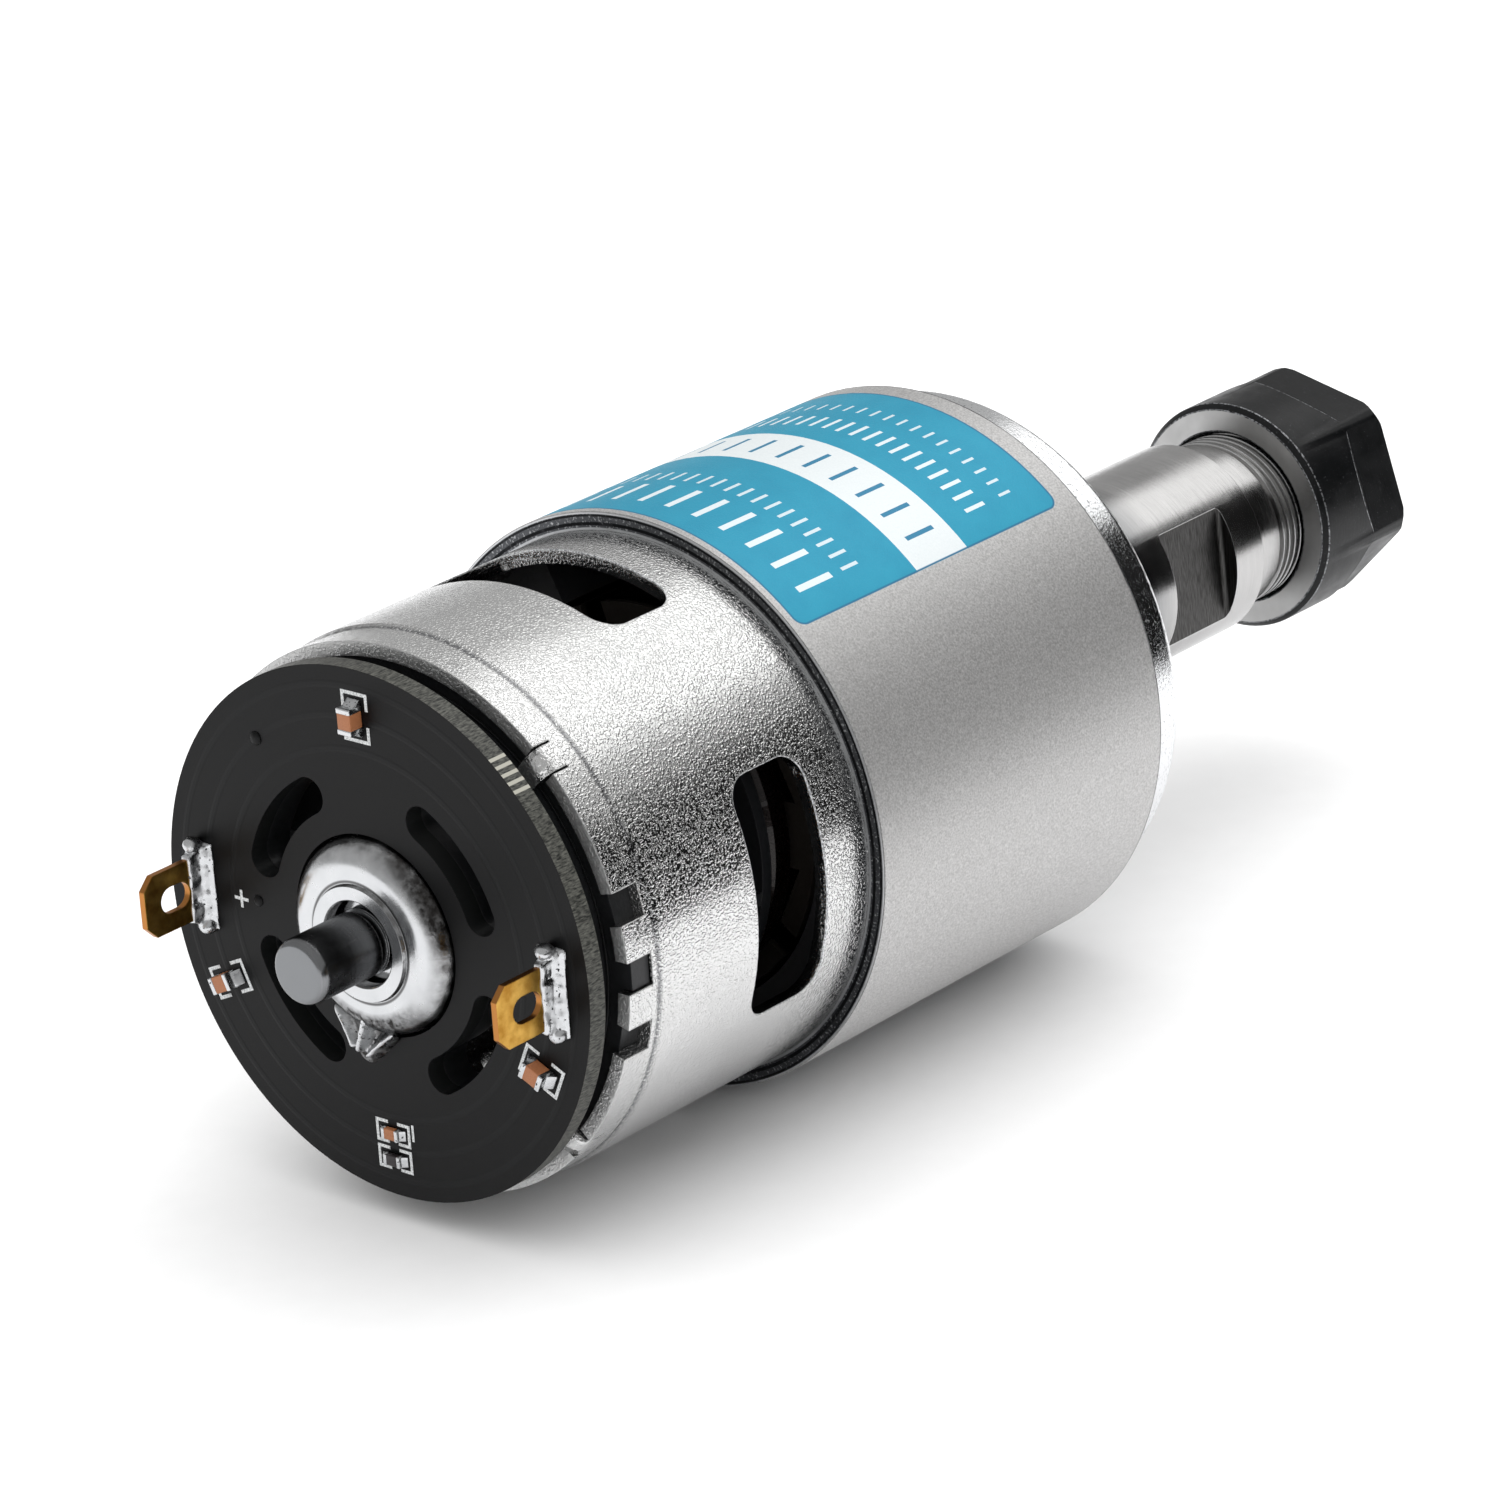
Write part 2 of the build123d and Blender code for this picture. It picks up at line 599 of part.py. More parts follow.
def ground_solder():
    """Spiky lump of solder that joins the bearing cup to the board."""
    foot = make_face(Polyline(*GROUND_SOLDER_FOOT, close=True))
    lump = extrude(Plane.YZ.offset(BOARD_REAR_X) * foot, -GROUND_SOLDER_T, taper=GROUND_SOLDER_TAPER)
    return lump - rod(CUP_REAR_X - OVERRUN, board_front_x, cup_r + PRESS_GAP)


def chip(size, radius, angle):
    """A small rectangular part lying on the board, its length along the radius."""
    height, length, width = size
    return about_x(Pos(BOARD_REAR_X - height / 2, radius, 0) * Box(height, length, width), angle)


def chip_capacitors():
    return group(chip(CAPACITOR_SIZE, CAPACITOR_R, angle) for angle in CAPACITOR_ANGLES)


def chip_resistors():
    height, length, width = RESISTOR_SIZE
    return group(Pos(BOARD_REAR_X - height / 2, 0, z) * Box(height, length, width) for z in RESISTOR_ZS)


def brush(side):
    """Carbon block with a hollow face that fits the commutator."""
    end_y = BAR_R + BRUSH_FACE_GAP + BRUSH_LENGTH
    carbon = block((BRUSH_X - BRUSH_W / 2, BRUSH_X + BRUSH_W / 2), (BAR_R - OVERRUN, end_y),
                   (-BRUSH_H / 2, BRUSH_H / 2))
    carbon -= rod(BRUSH_X - BRUSH_W, BRUSH_X + BRUSH_W, BAR_R + BRUSH_FACE_GAP)
    return about_x(carbon, side)


def brush_box(side):
    """Folded brass box that guides a brush and closes behind its spring."""
    half_w = BRUSH_W / 2 + SLIDE_GAP
    half_h = BRUSH_H / 2 + SLIDE_GAP
    outer_y = TAB_Y - TAB_T / 2
    shell = block((BRUSH_X - half_w - BOX_WALL, BRUSH_X + half_w + BOX_WALL), (BOX_INNER_Y, outer_y),
                  (-half_h - BOX_WALL, half_h + BOX_WALL))
    shell -= block((BRUSH_X - half_w, BRUSH_X + half_w), (BOX_INNER_Y - OVERRUN, outer_y - BOX_WALL),
                   (-half_h, half_h))
    lead_slot = block((BRUSH_X + half_w - OVERRUN, BRUSH_X + half_w + BOX_WALL + OVERRUN),
                      (LEAD_SLOT_INNER_Y, outer_y - BOX_WALL - OVERRUN),
                      (-LEAD_SLOT_W / 2, LEAD_SLOT_W / 2))
    return about_x(shell - lead_slot, side)


def brush_spring(side):
    """Coil spring between the brush and the closed end of its box."""
    start_y = BAR_R + BRUSH_FACE_GAP + BRUSH_LENGTH + SPRING_SEAT_GAP + SPRING_WIRE_R
    end_y = TAB_Y - TAB_T / 2 - BOX_WALL - SPRING_SEAT_GAP - SPRING_WIRE_R
    pitch = (end_y - start_y) / SPRING_TURNS
    path = Helix(pitch, end_y - start_y, SPRING_R)
    section = RegularPolygon(SPRING_WIRE_R, 6)
    wire = sweep(Plane(path @ 0, z_dir=path % 0) * section, path, is_frenet=True)
    return about_x(Pos(BRUSH_X, start_y, 0) * Rot(-90, 0, 0) * wire, side)


def shaft():
    steel = chamfer(rod(SHAFT_REAR_X, SHAFT_FRONT_X, SHAFT_R).edges(), EDGE_BREAK)
    return steel - tube(CLIP_GROOVE_X, CLIP_GROOVE_X + CLIP_GROOVE_W, SHAFT_R - CLIP_GROOVE_DEPTH,
                        SHAFT_R + OVERRUN)


def slot_outline(inset):
    """Half-open slot between two armature teeth, seen along the shaft, on +Y."""
    slope = tan(radians(180.0 / CORE_TEETH))
    tooth_offset = TOOTH_W / 2 / cos(radians(180.0 / CORE_TEETH))
    bottom_r = slot_bottom_r + inset
    top_r = slot_top_r - inset
    bottom_half = bottom_r * slope - tooth_offset - inset
    top_half = top_r * slope - tooth_offset - inset
    mouth_r = slot_top_r + SLOT_NECK - inset
    mouth_half = SLOT_OPENING_W / 2
    return make_face(Polyline(
        (bottom_r, -bottom_half), (top_r, -top_half), (mouth_r, -mouth_half),
        (mouth_r, mouth_half), (top_r, top_half), (bottom_r, bottom_half), close=True))


def lamination(x_start, x_end):
    """Five-toothed armature section."""
    mouth = Pos((slot_top_r + CORE_R + OVERRUN) / 2, 0) * Rectangle(
        CORE_R - slot_top_r + OVERRUN, SLOT_OPENING_W)
    cut = prism(slot_outline(0.0) + mouth, x_start - OVERRUN, x_end + OVERRUN)
    disc = tube(x_start, x_end, SHAFT_R + PRESS_GAP, CORE_R)
    return disc - ring_of(cut, CORE_TEETH)


def windings():
    """Copper: bundles in the slots, a domed head at each end and leads to the bars."""
    heads = []
    for start, end in ((head_rear_x - HEAD_REAR_T, head_rear_x), (head_front_x, head_front_x + HEAD_FRONT_T)):
        heads.append(turned([(start, head_inner_r), (end, head_inner_r), (end, head_r - HEAD_CHAMFER),
                             (end - HEAD_CHAMFER, head_r), (start + HEAD_CHAMFER, head_r),
                             (start, head_r - HEAD_CHAMFER)]))
    bundle_ends = (head_rear_x - COPPER_OVERLAP, head_front_x + COPPER_OVERLAP)
    bundle = prism(slot_outline(SLOT_LINER), *bundle_ends)
    lead = Pos(0, lead_circle_r, 0) * rod(BAR_FRONT_X - HOOK_T, bundle_ends[0], LEAD_R)
    return heads[0] + heads[1] + ring_of(bundle, CORE_TEETH) + ring_of(lead, BAR_COUNT)


def core_sheets():
    """Fibre sheet on each end of the armature core."""
    return group([lamination(head_rear_x, core_rear_x), lamination(CORE_FRONT_X, head_front_x)])


def commutator_bars():
    """Copper bars with a hook each, parted by undercut slots."""
    bars = []
    span = 360.0 / BAR_COUNT
    slot_span = degrees(BAR_SLOT / BAR_R)
    for i in range(BAR_COUNT):
        middle = span * i
        bar = sector(BAR_REAR_X, BAR_FRONT_X, BAR_R - BAR_T, BAR_R, middle, span - slot_span)
        hook = block((BAR_FRONT_X - HOOK_T, BAR_FRONT_X), (BAR_R - BAR_T / 2, HOOK_R),
                     (-HOOK_W / 2, HOOK_W / 2))
        bars.append(bar + about_x(hook, middle))
    return group(bars)


def commutator_core():
    """Moulded sleeve under the bars, with a collar at its rear end."""
    inner_r = SHAFT_R + PRESS_GAP
    sleeve_r = BAR_R - BAR_T - PRESS_GAP
    collar_r = BAR_R - COLLAR_STEP
    return turned([(collar_x, inner_r), (BAR_FRONT_X, inner_r), (BAR_FRONT_X, sleeve_r),
                   (BAR_REAR_X, sleeve_r), (BAR_REAR_X, collar_r), (collar_x, collar_r)])


def polar(radius, angle):
    return (radius * cos(radians(angle)), radius * sin(radians(angle)))


def fan_blade():
    """Curved blade seen along the shaft, leaning back towards its tip."""
    tip_r = FAN_R - FAN_TIP_STEP
    root_turn = degrees(FAN_BLADE_T / FAN_BLADE_INNER_R)
    tip_turn = degrees(FAN_BLADE_T / tip_r)
    root, root_back = polar(FAN_BLADE_INNER_R, 0), polar(FAN_BLADE_INNER_R, root_turn)
    tip, tip_back = polar(tip_r, FAN_BLADE_LEAN), polar(tip_r, FAN_BLADE_LEAN + tip_turn)
    return make_face([
        RadiusArc(root, tip, FAN_BLADE_CURVE_R), Line(tip, tip_back),
        RadiusArc(tip_back, root_back, -FAN_BLADE_CURVE_R), Line(root_back, root)])


def cooling_fan():
    """Radial fan behind the windings: a web with curved blades that face the windows."""
    web_x = FAN_FRONT_X - FAN_WEB_T
    fan = tube(FAN_REAR_X, FAN_FRONT_X, SHAFT_R + PRESS_GAP, FAN_HUB_R)
    web = tube(web_x, FAN_FRONT_X, SHAFT_R + PRESS_GAP, FAN_R)
    lead_hole = Pos(0, lead_circle_r, 0) * rod(web_x - OVERRUN, FAN_FRONT_X + OVERRUN,
                                               LEAD_R + LEAD_HOLE_GAP)
    web -= ring_of(lead_hole, BAR_COUNT)
    blades = ring_of(prism(fan_blade(), FAN_REAR_X, web_x), FAN_BLADES)
    return fan + web + blades


def spacer(x_start, x_end, outer_r):
    return tube(x_start, x_end, SHAFT_R + PRESS_GAP, outer_r)


def collet_holder():
    """Turned steel holder: shaft bore behind, two spanner flats, an 8 degree socket."""
    bore_r = SHAFT_R + PRESS_GAP
    socket_floor_x = collet_rear_x - SOCKET_FLOOR_GAP
    holder = turned([
        (HOLDER_REAR_X, bore_r + EDGE_BREAK), (HOLDER_REAR_X, HOLDER_R - HOLDER_CHAMFER),
        (HOLDER_REAR_X + HOLDER_CHAMFER, HOLDER_R), (HOLDER_SHOULDER_X - SHOULDER_CHAMFER, HOLDER_R),
        (HOLDER_SHOULDER_X, HOLDER_R - SHOULDER_CHAMFER), (HOLDER_SHOULDER_X, NECK_R),
        (THREAD_X, NECK_R), (THREAD_X + NECK_R - THREAD_ROOT_R, THREAD_ROOT_R),
        (HOLDER_FRONT_X - EDGE_BREAK, THREAD_ROOT_R), (HOLDER_FRONT_X, THREAD_ROOT_R - EDGE_BREAK),
        (HOLDER_FRONT_X, collet_r(HOLDER_FRONT_X) + TAPER_GAP),
        (socket_floor_x, collet_r(socket_floor_x) + TAPER_GAP), (socket_floor_x, RELIEF_R),
        (SHAFT_BORE_END_X, RELIEF_R), (SHAFT_BORE_END_X, bore_r), (HOLDER_REAR_X + EDGE_BREAK, bore_r)])
    flat = block((FLATS_X, FLATS_X + FLATS_WIDTH), (FLATS_ACROSS / 2, HOLDER_R + OVERRUN),
                 (-HOLDER_R, HOLDER_R))
    flat = fillet(flat.edges().filter_by(Axis.Z).sort_by(Axis.Y)[:2], FLATS_ROUND)
    return holder - [about_x(flat, FLATS_TURN + side) for side in (0, 180)]


def collet():
    """Spring collet: long 8 degree taper, groove, short front cone and two sets of slits."""
    relief_x = collet_front_x - COLLET_GRIP
    taper_end_x = groove_rear_x - SHOULDER_CHAMFER
    body = turned([
        (collet_front_x, COLLET_BORE_R + EDGE_BREAK), (collet_front_x, COLLET_FACE_R),
        (collet_front_x - head_cone, COLLET_HEAD_R), (head_rear_edge_x, COLLET_HEAD_R),
        (head_rear_edge_x, GROOVE_R), (groove_rear_x, GROOVE_R),
        (taper_end_x, collet_r(taper_end_x)), (collet_rear_x, collet_r(collet_rear_x)),
        (collet_rear_x, COLLET_RELIEF_R), (relief_x, COLLET_RELIEF_R), (relief_x, COLLET_BORE_R),
        (collet_front_x - EDGE_BREAK, COLLET_BORE_R)])
    slit_y = (0, COLLET_HEAD_R + OVERRUN)
    slit_z = (-SLIT_W / 2, SLIT_W / 2)
    front_slit = block((collet_rear_x + SLIT_SOLID_END, collet_front_x + OVERRUN), slit_y, slit_z)
    rear_slit = block((collet_rear_x - OVERRUN, collet_front_x - SLIT_SOLID_END), slit_y, slit_z)
    return body - ring_of(front_slit, SLITS) - ring_of(rear_slit, SLITS, 180.0 / SLITS)


def collet_nut():
    """Clamping nut: round behind, six flats in front, a ring that sits in the groove."""
    cone_rise = 1.0 / tan(radians(FRONT_CONE_ANGLE))
    ring_rear_face_x = groove_rear_x + NUT_RING_GAP
    ring_front_face_x = head_rear_edge_x - NUT_RING_GAP
    ring_r = GROOVE_R + NUT_RING_GAP
    room_r = COLLET_HEAD_R + NUT_RING_GAP
    face_r = COLLET_FACE_R + NUT_CONE_GAP + (collet_front_x - nut_front_x) / cone_rise
    cone_start_x = nut_front_x - (room_r - face_r) * cone_rise
    hex_x = nut_front_x - NUT_HEX_LENGTH
    flat_r = NUT_ACROSS_FLATS / 2
    nut = turned([
        (nut_rear_x, nut_mouth_r), (nut_rear_x, NUT_R - NUT_REAR_CHAMFER),
        (nut_rear_x + NUT_REAR_CHAMFER, NUT_R), (nut_front_x - EDGE_BREAK, NUT_R),
        (nut_front_x, NUT_R - EDGE_BREAK), (nut_front_x, face_r), (cone_start_x, room_r),
        (ring_front_face_x, room_r), (ring_front_face_x, ring_r), (ring_rear_face_x, ring_r),
        (ring_rear_face_x, nut_bore_r), (nut_rear_x + nut_mouth_r - nut_bore_r, nut_bore_r)])
    slope = (NUT_R - flat_r) / NUT_RUNOUT
    reach = NUT_R + OVERRUN
    past_x = nut_front_x + OVERRUN
    outline = Polyline((hex_x, flat_r), (past_x, flat_r), (past_x, reach),
                       (hex_x - (reach - flat_r) / slope, reach), close=True)
    flat = extrude(make_face(outline), NUT_R, both=True)
    return nut - ring_of(flat, 6, NUT_TURN)


front = ball_bearing(front_bearing_x, FRONT_BEARING_W, FRONT_BEARING_R, FRONT_BALL_R)
rear = ball_bearing(rear_bearing_x, REAR_BEARING_W, REAR_BEARING_R, REAR_BALL_R)

parts = {
    "motor_can": motor_can(),
    "flux_ring": flux_ring(),
    "foil_label": foil_label(),
    "magnet_left": magnet(0),
    "magnet_right": magnet(180),
    "magnet_clip_top": magnet_clip(90),
    "magnet_clip_bottom": magnet_clip(270),
    "bearing_cup": bearing_cup(),
    "spring_washer": spring_washer(),
    "end_bell": end_bell(),
    "circuit_board": circuit_board(),
    "terminal_left": terminal(1),
    "terminal_right": terminal(-1),
    "terminal_solder": terminal_solder(),
    "ground_solder": ground_solder(),
    "chip_capacitors": chip_capacitors(),
    "chip_resistors": chip_resistors(),
    "brush_left": brush(0),
    "brush_right": brush(180),
    "brush_box_left": brush_box(0),
    "brush_box_right": brush_box(180),
    "brush_spring_left": brush_spring(0),
    "brush_spring_right": brush_spring(180),
    "shaft": shaft(),
    "armature_core": lamination(core_rear_x, CORE_FRONT_X),
    "core_sheets": core_sheets(),
    "windings": windings(),
    "commutator_core": commutator_core(),
    "commutator_bars": commutator_bars(),
    "cooling_fan": cooling_fan(),
    "front_spacer": spacer(head_front_x, front_bearing_x, FRONT_SPACER_R),
    "rear_spacer": spacer(rear_bearing_x + REAR_BEARING_W, collar_x, REAR_SPACER_R),
    "collet_holder": collet_holder(),
    "collet": collet(),
    "collet_nut": collet_nut(),
}
for place, pieces in (("front", front), ("rear", rear)):
    for name, shape in pieces.items():
        parts[f"{place}_bearing_{name}"] = shape

os.makedirs("parts", exist_ok=True)
for name, shape in parts.items():
    export_step(shape, f"parts/{name}.step")
print(len(parts), "parts written")
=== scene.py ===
# %% [markdown]
# # A motor spindle, dressed for its picture
# A small 24 V brush motor with a collet holder on its shaft. The solids come from CAD and stay
# as they are. This lesson adds the camera, the light, a finish for every piece, and the small
# details that a CAD solid leaves plain: solder, printed marks, chips and a thread.

from math import cos, pi, radians, sin

import bmesh
import bpy
from mathutils import Matrix, Vector


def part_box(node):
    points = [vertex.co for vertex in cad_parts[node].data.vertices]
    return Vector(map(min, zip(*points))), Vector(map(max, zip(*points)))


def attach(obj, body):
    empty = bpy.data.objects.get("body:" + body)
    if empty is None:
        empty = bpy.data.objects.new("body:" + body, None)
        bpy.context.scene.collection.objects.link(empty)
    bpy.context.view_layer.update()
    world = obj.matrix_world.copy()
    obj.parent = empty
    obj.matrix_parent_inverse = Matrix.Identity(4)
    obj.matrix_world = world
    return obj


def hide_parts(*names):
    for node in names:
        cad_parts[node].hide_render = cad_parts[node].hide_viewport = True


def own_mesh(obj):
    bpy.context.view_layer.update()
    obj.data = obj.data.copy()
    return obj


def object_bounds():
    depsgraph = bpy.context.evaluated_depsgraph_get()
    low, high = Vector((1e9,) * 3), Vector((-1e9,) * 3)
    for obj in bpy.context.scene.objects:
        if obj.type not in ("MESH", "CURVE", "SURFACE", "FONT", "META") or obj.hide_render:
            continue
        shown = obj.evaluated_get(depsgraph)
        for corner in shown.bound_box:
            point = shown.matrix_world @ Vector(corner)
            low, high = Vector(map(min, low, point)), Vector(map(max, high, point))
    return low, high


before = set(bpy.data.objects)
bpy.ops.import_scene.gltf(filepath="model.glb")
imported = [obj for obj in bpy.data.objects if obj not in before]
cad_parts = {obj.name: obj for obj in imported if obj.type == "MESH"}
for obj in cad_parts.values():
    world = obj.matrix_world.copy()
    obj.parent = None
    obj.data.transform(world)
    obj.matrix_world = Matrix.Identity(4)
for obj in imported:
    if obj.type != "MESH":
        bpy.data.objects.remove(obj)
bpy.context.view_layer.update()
MM = 0.001

# %% [markdown]
# The camera stands where the photographer's stood: behind the motor, to its left and a little
# above. It could be aimed with a constraint. Here its own three directions are written down,
# because then the picture's edges fall exactly where they did in the photograph.

# %% Camera
EYE = Vector((-0.374345, -0.30872, 0.18016))
LOOK = Vector((0.6982, 0.6184, -0.3605)).normalized()
NEARLY_UP = Vector((0, -0.0837, 0.9965))
across = LOOK.cross(NEARLY_UP).normalized()
upward = across.cross(LOOK)
bpy.ops.object.camera_add()
camera = bpy.context.object
camera.name = "camera"
turn = Matrix((across, upward, -LOOK)).transposed()
camera.matrix_world = Matrix.Translation(EYE) @ turn.to_4x4()
camera.data.lens = 159.65
camera.data.sensor_width = 36
camera.data.clip_start = 0.01
bpy.context.scene.camera = camera
bpy.context.scene.view_settings.view_transform = "Standard"
print("camera", round(EYE.length, 3), "m from the origin")

# %% [markdown]
# A finish starts from measured colours, which are written as on a screen and turned into the
# linear values that light needs. Finishes and lights are small networks of nodes, and one
# function adds a node, sets it and links it. Patterns read Object coordinates, so that they
# keep their real size in millimetres and move with the piece.

# %% Helpers for nodes
def colour(code):
    """A screen colour such as '#A0B0C0', as linear light."""
    parts = [int(code[i:i + 2], 16) / 255 for i in (1, 3, 5)]
    return tuple(c / 12.92 if c <= 0.04045 else ((c + 0.055) / 1.055) ** 2.4 for c in parts) + (1,)


def add(tree, kind, inputs=None, **settings):
    """Adds a node. inputs gives a socket, by name or number, a value or another socket."""
    made = tree.nodes.new("ShaderNode" + kind)
    for name, value in settings.items():
        setattr(made, name, value)
    for name, value in (inputs or {}).items():
        if isinstance(value, bpy.types.NodeSocket):
            tree.links.new(value, made.inputs[name])
        else:
            made.inputs[name].default_value = value
    return made


def finish(name, base, **sockets):
    """A new finish with one shader: its tree, its shader and the piece's own coordinates."""
    material = bpy.data.materials.new(name)
    material.use_nodes = True
    tree = material.node_tree
    shader = tree.nodes["Principled BSDF"]
    shader.inputs["Base Color"].default_value = colour(base)
    for socket, value in sockets.items():
        shader.inputs[socket.replace("_", " ")].default_value = value
    return material, tree, shader, add(tree, "TexCoord").outputs["Object"]


def reopen(material):
    """The tree, the shader and the place of a finish that is there already."""
    tree = material.node_tree
    return tree, tree.nodes["Principled BSDF"], add(tree, "TexCoord").outputs["Object"]


def linked(shader, socket):
    """The pattern that a shader's socket has now."""
    return shader.inputs[socket].links[0].from_socket


def feed(tree, shader, **sockets):
    """Links patterns to the shader's sockets."""
    for socket, pattern in sockets.items():
        tree.links.new(pattern, shader.inputs[socket.replace("_", " ")])


print("node helpers ready")

# %% [markdown]
# A pattern is a number or a colour that changes over a piece. These helpers do sums with
# patterns, stretch them to a range, mix colours by them and turn them into relief.

# %% Helpers for patterns
def maths(tree, operation, *values):
    return add(tree, "Math", dict(enumerate(values)), operation=operation).outputs[0]


def product(tree, first, *others):
    for other in others:
        first = maths(tree, "MULTIPLY", first, other)
    return first


def total(tree, first, *others):
    for other in others:
        first = maths(tree, "ADD", first, other)
    return first


def rest(tree, share):
    """What a share leaves of 1."""
    return maths(tree, "SUBTRACT", 1.0, share)


def spread(tree, value, low, high, start=0.0, end=1.0):
    """Maps start to end of a value onto low to high."""
    return add(tree, "MapRange", {0: value, 1: start, 2: end, 3: low, 4: high}).outputs[0]


def tone(tree, noise, low, high):
    """Maps noise, which mostly keeps between 0.3 and 0.7, onto low to high."""
    return spread(tree, noise, low, high, 0.3, 0.7)


def away(tree, value, middle):
    """How far a value is from the middle, either way."""
    return maths(tree, "ABSOLUTE", maths(tree, "SUBTRACT", value, middle))


def near(tree, value, middle, inner, outer):
    """1 where the value is within inner of the middle, fading to 0 at outer."""
    return spread(tree, away(tree, value, middle), 1.0, 0.0, inner, outer)


def blend(tree, share, first, second):
    """Mixes two colours, each of them a socket or a screen colour."""
    first, second = (colour(c) if isinstance(c, str) else c for c in (first, second))
    return add(tree, "Mix", {0: share, 6: first, 7: second}, data_type="RGBA").outputs[2]


def grain(tree, place, size, detail=3.0, stretch=(1, 1, 1)):
    """Noise whose specks are about size millimetres, pulled out along an axis by stretch."""
    scaled = add(tree, "Mapping", {"Vector": place, "Scale": tuple(1 / s for s in stretch)})
    return add(tree, "TexNoise", {"Vector": scaled.outputs[0], "Scale": 1 / (size * MM),
                                  "Detail": detail, "Roughness": 0.55}).outputs["Fac"]


def around(tree, place):
    """A point's place on the motor: millimetres along it and out from its axis, and its turn."""
    x, y, z = add(tree, "SeparateXYZ", {0: place}).outputs
    flat = add(tree, "CombineXYZ", {1: y, 2: z}).outputs[0]
    out = add(tree, "VectorMath", {0: flat}, operation="LENGTH").outputs["Value"]
    return product(tree, x, 1 / MM), product(tree, out, 1 / MM), maths(tree, "ARCTAN2", z, y)


def facing(tree, axis="X"):
    """How squarely a face looks along an axis, from -1 to 1."""
    normal = add(tree, "NewGeometry").outputs["Normal"]
    return add(tree, "SeparateXYZ", {0: normal}).outputs[axis]


def relief(tree, shader, height, depth, edge=None):
    """Turns a height pattern into relief of so many millimetres, over softened edges."""
    bump = add(tree, "Bump", {"Height": height, "Distance": depth * MM, "Strength": 1.0})
    if edge:
        soft = add(tree, "Bevel", {"Radius": edge * MM}, samples=4)
        tree.links.new(soft.outputs[0], bump.inputs["Normal"])
    tree.links.new(bump.outputs[0], shader.inputs["Normal"])


def worn_edge(tree, width):
    """A mask that is 1 on sharp edges, within width millimetres of them."""
    soft = add(tree, "Bevel", {"Radius": width * MM}, samples=4).outputs[0]
    true = add(tree, "NewGeometry").outputs["Normal"]
    same = add(tree, "VectorMath", {0: soft, 1: true}, operation="DOT_PRODUCT").outputs["Value"]
    fully_worn = 0.88  # how alike the two directions still are on a worn edge
    return spread(tree, same, 1.0, 0.0, fully_worn, 1.0)


def dress(material, *names):
    """Gives a CAD node this finish, in the material slots that it already has."""
    for name in names:
        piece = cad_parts[name]
        if not piece.material_slots:
            piece.data.materials.append(material)
        for slot in piece.material_slots:
            slot.material = material


print("pattern helpers ready")

# %% [markdown]
# Polished metal shows its surroundings, so the light is built from what the metal mirrors. A
# wide softbox, brighter at its heart, hangs over the nose end and draws the long bright band on
# the can. A dark card at the near side draws the black band below it, and the white floor
# lights the underside. The room is a dome of light. Matte surfaces take it at full strength,
# which lifts the floor to white and leaves a soft shadow only close to the motor. The dome is
# brightest overhead, which keeps that shadow tight. Polished metal sees it as mid-grey.

# %% Light
MIRRORED_DOME = 0.42
DOME_LOW, DOME_TOP = 0.6, 1.75
world = bpy.data.worlds.new("grey_room")
bpy.context.scene.world = world
world.use_nodes = True
dome = world.node_tree
glow = dome.nodes["Background"]
glow.inputs["Color"].default_value = (0.99, 0.99, 0.99, 1)
direction = add(dome, "TexCoord").outputs["Generated"]
rise = add(dome, "SeparateXYZ", {0: direction}).outputs["Z"]
matte_ray = add(dome, "LightPath").outputs["Is Diffuse Ray"]
feed(dome, glow, Strength=spread(dome, matte_ray, MIRRORED_DOME,
                                 spread(dome, rise, DOME_LOW, DOME_TOP)))


def softbox(name, place, target, width, length, radiance):
    """A lamp that the camera doesn't see, turned to shine on the target."""
    bpy.ops.object.light_add(type="AREA")
    light = bpy.context.object
    light.name = name
    turned = (Vector(place) - Vector(target)).to_track_quat("Z", "Y").to_matrix()
    light.matrix_world = Matrix.Translation(place) @ turned.to_4x4()
    light.data.shape = "RECTANGLE"
    light.data.size = width
    light.data.size_y = length
    light.data.energy = radiance * pi * width * length
    light.visible_camera = False


softbox("softbox_edge", (0.43, -0.085, 0.46), (0.43, -0.085, 0), width=0.7, length=0.57,
        radiance=0.55)
softbox("softbox_heart", (0.43, -0.08, 0.45), (0.43, -0.08, 0), width=0.7, length=0.38,
        radiance=0.47)

# %% [markdown]
# The can is deep-drawn from plated strip. Bare zinc or nickel plate is a metal with a fine
# pebbled skin left by drawing, faint scuffs from handling, and bright edges where the punch cut
# it. An image could carry that, but a pattern made of noise stays sharp at any distance.

# %% Drawn and plated steel
RIM_X, CREASE_X, SHOULDER_X = -63.0, -60.4, -4.25
can_steel, tree, shader, place = finish("plated_drawn_steel", "#E2E3E5", Metallic=1.0)
# drawing leaves a pebble about every 0.1 mm; 0.2 mm is as fine as the picture shows
pebble = spread(tree, grain(tree, place, 0.2, 1.0), 0.0, 1.0, 0.46, 0.66)
cloud = grain(tree, place, 6.0)
scuff = grain(tree, place, 0.12, 2.0, stretch=(1, 14, 3))
scrape = spread(tree, grain(tree, place, 0.1, stretch=(1, 3, 3)), 0.0, 1.0, 0.3, 0.4)
along = around(tree, place)[0]
sheared = product(tree, maths(tree, "LESS_THAN", facing(tree), -0.8),
                  maths(tree, "LESS_THAN", along, RIM_X))
shoulder = maths(tree, "GREATER_THAN", along, SHOULDER_X)
crease = near(tree, along, CREASE_X, 0.06, 0.3)
shade = total(tree, tone(tree, pebble, 0.0, 0.6), tone(tree, cloud, 0.0, 0.4))
plate = blend(tree, shade, "#E8E8E7", "#FAFAF9")
plate = blend(tree, shoulder, plate, "#F4F5F6")
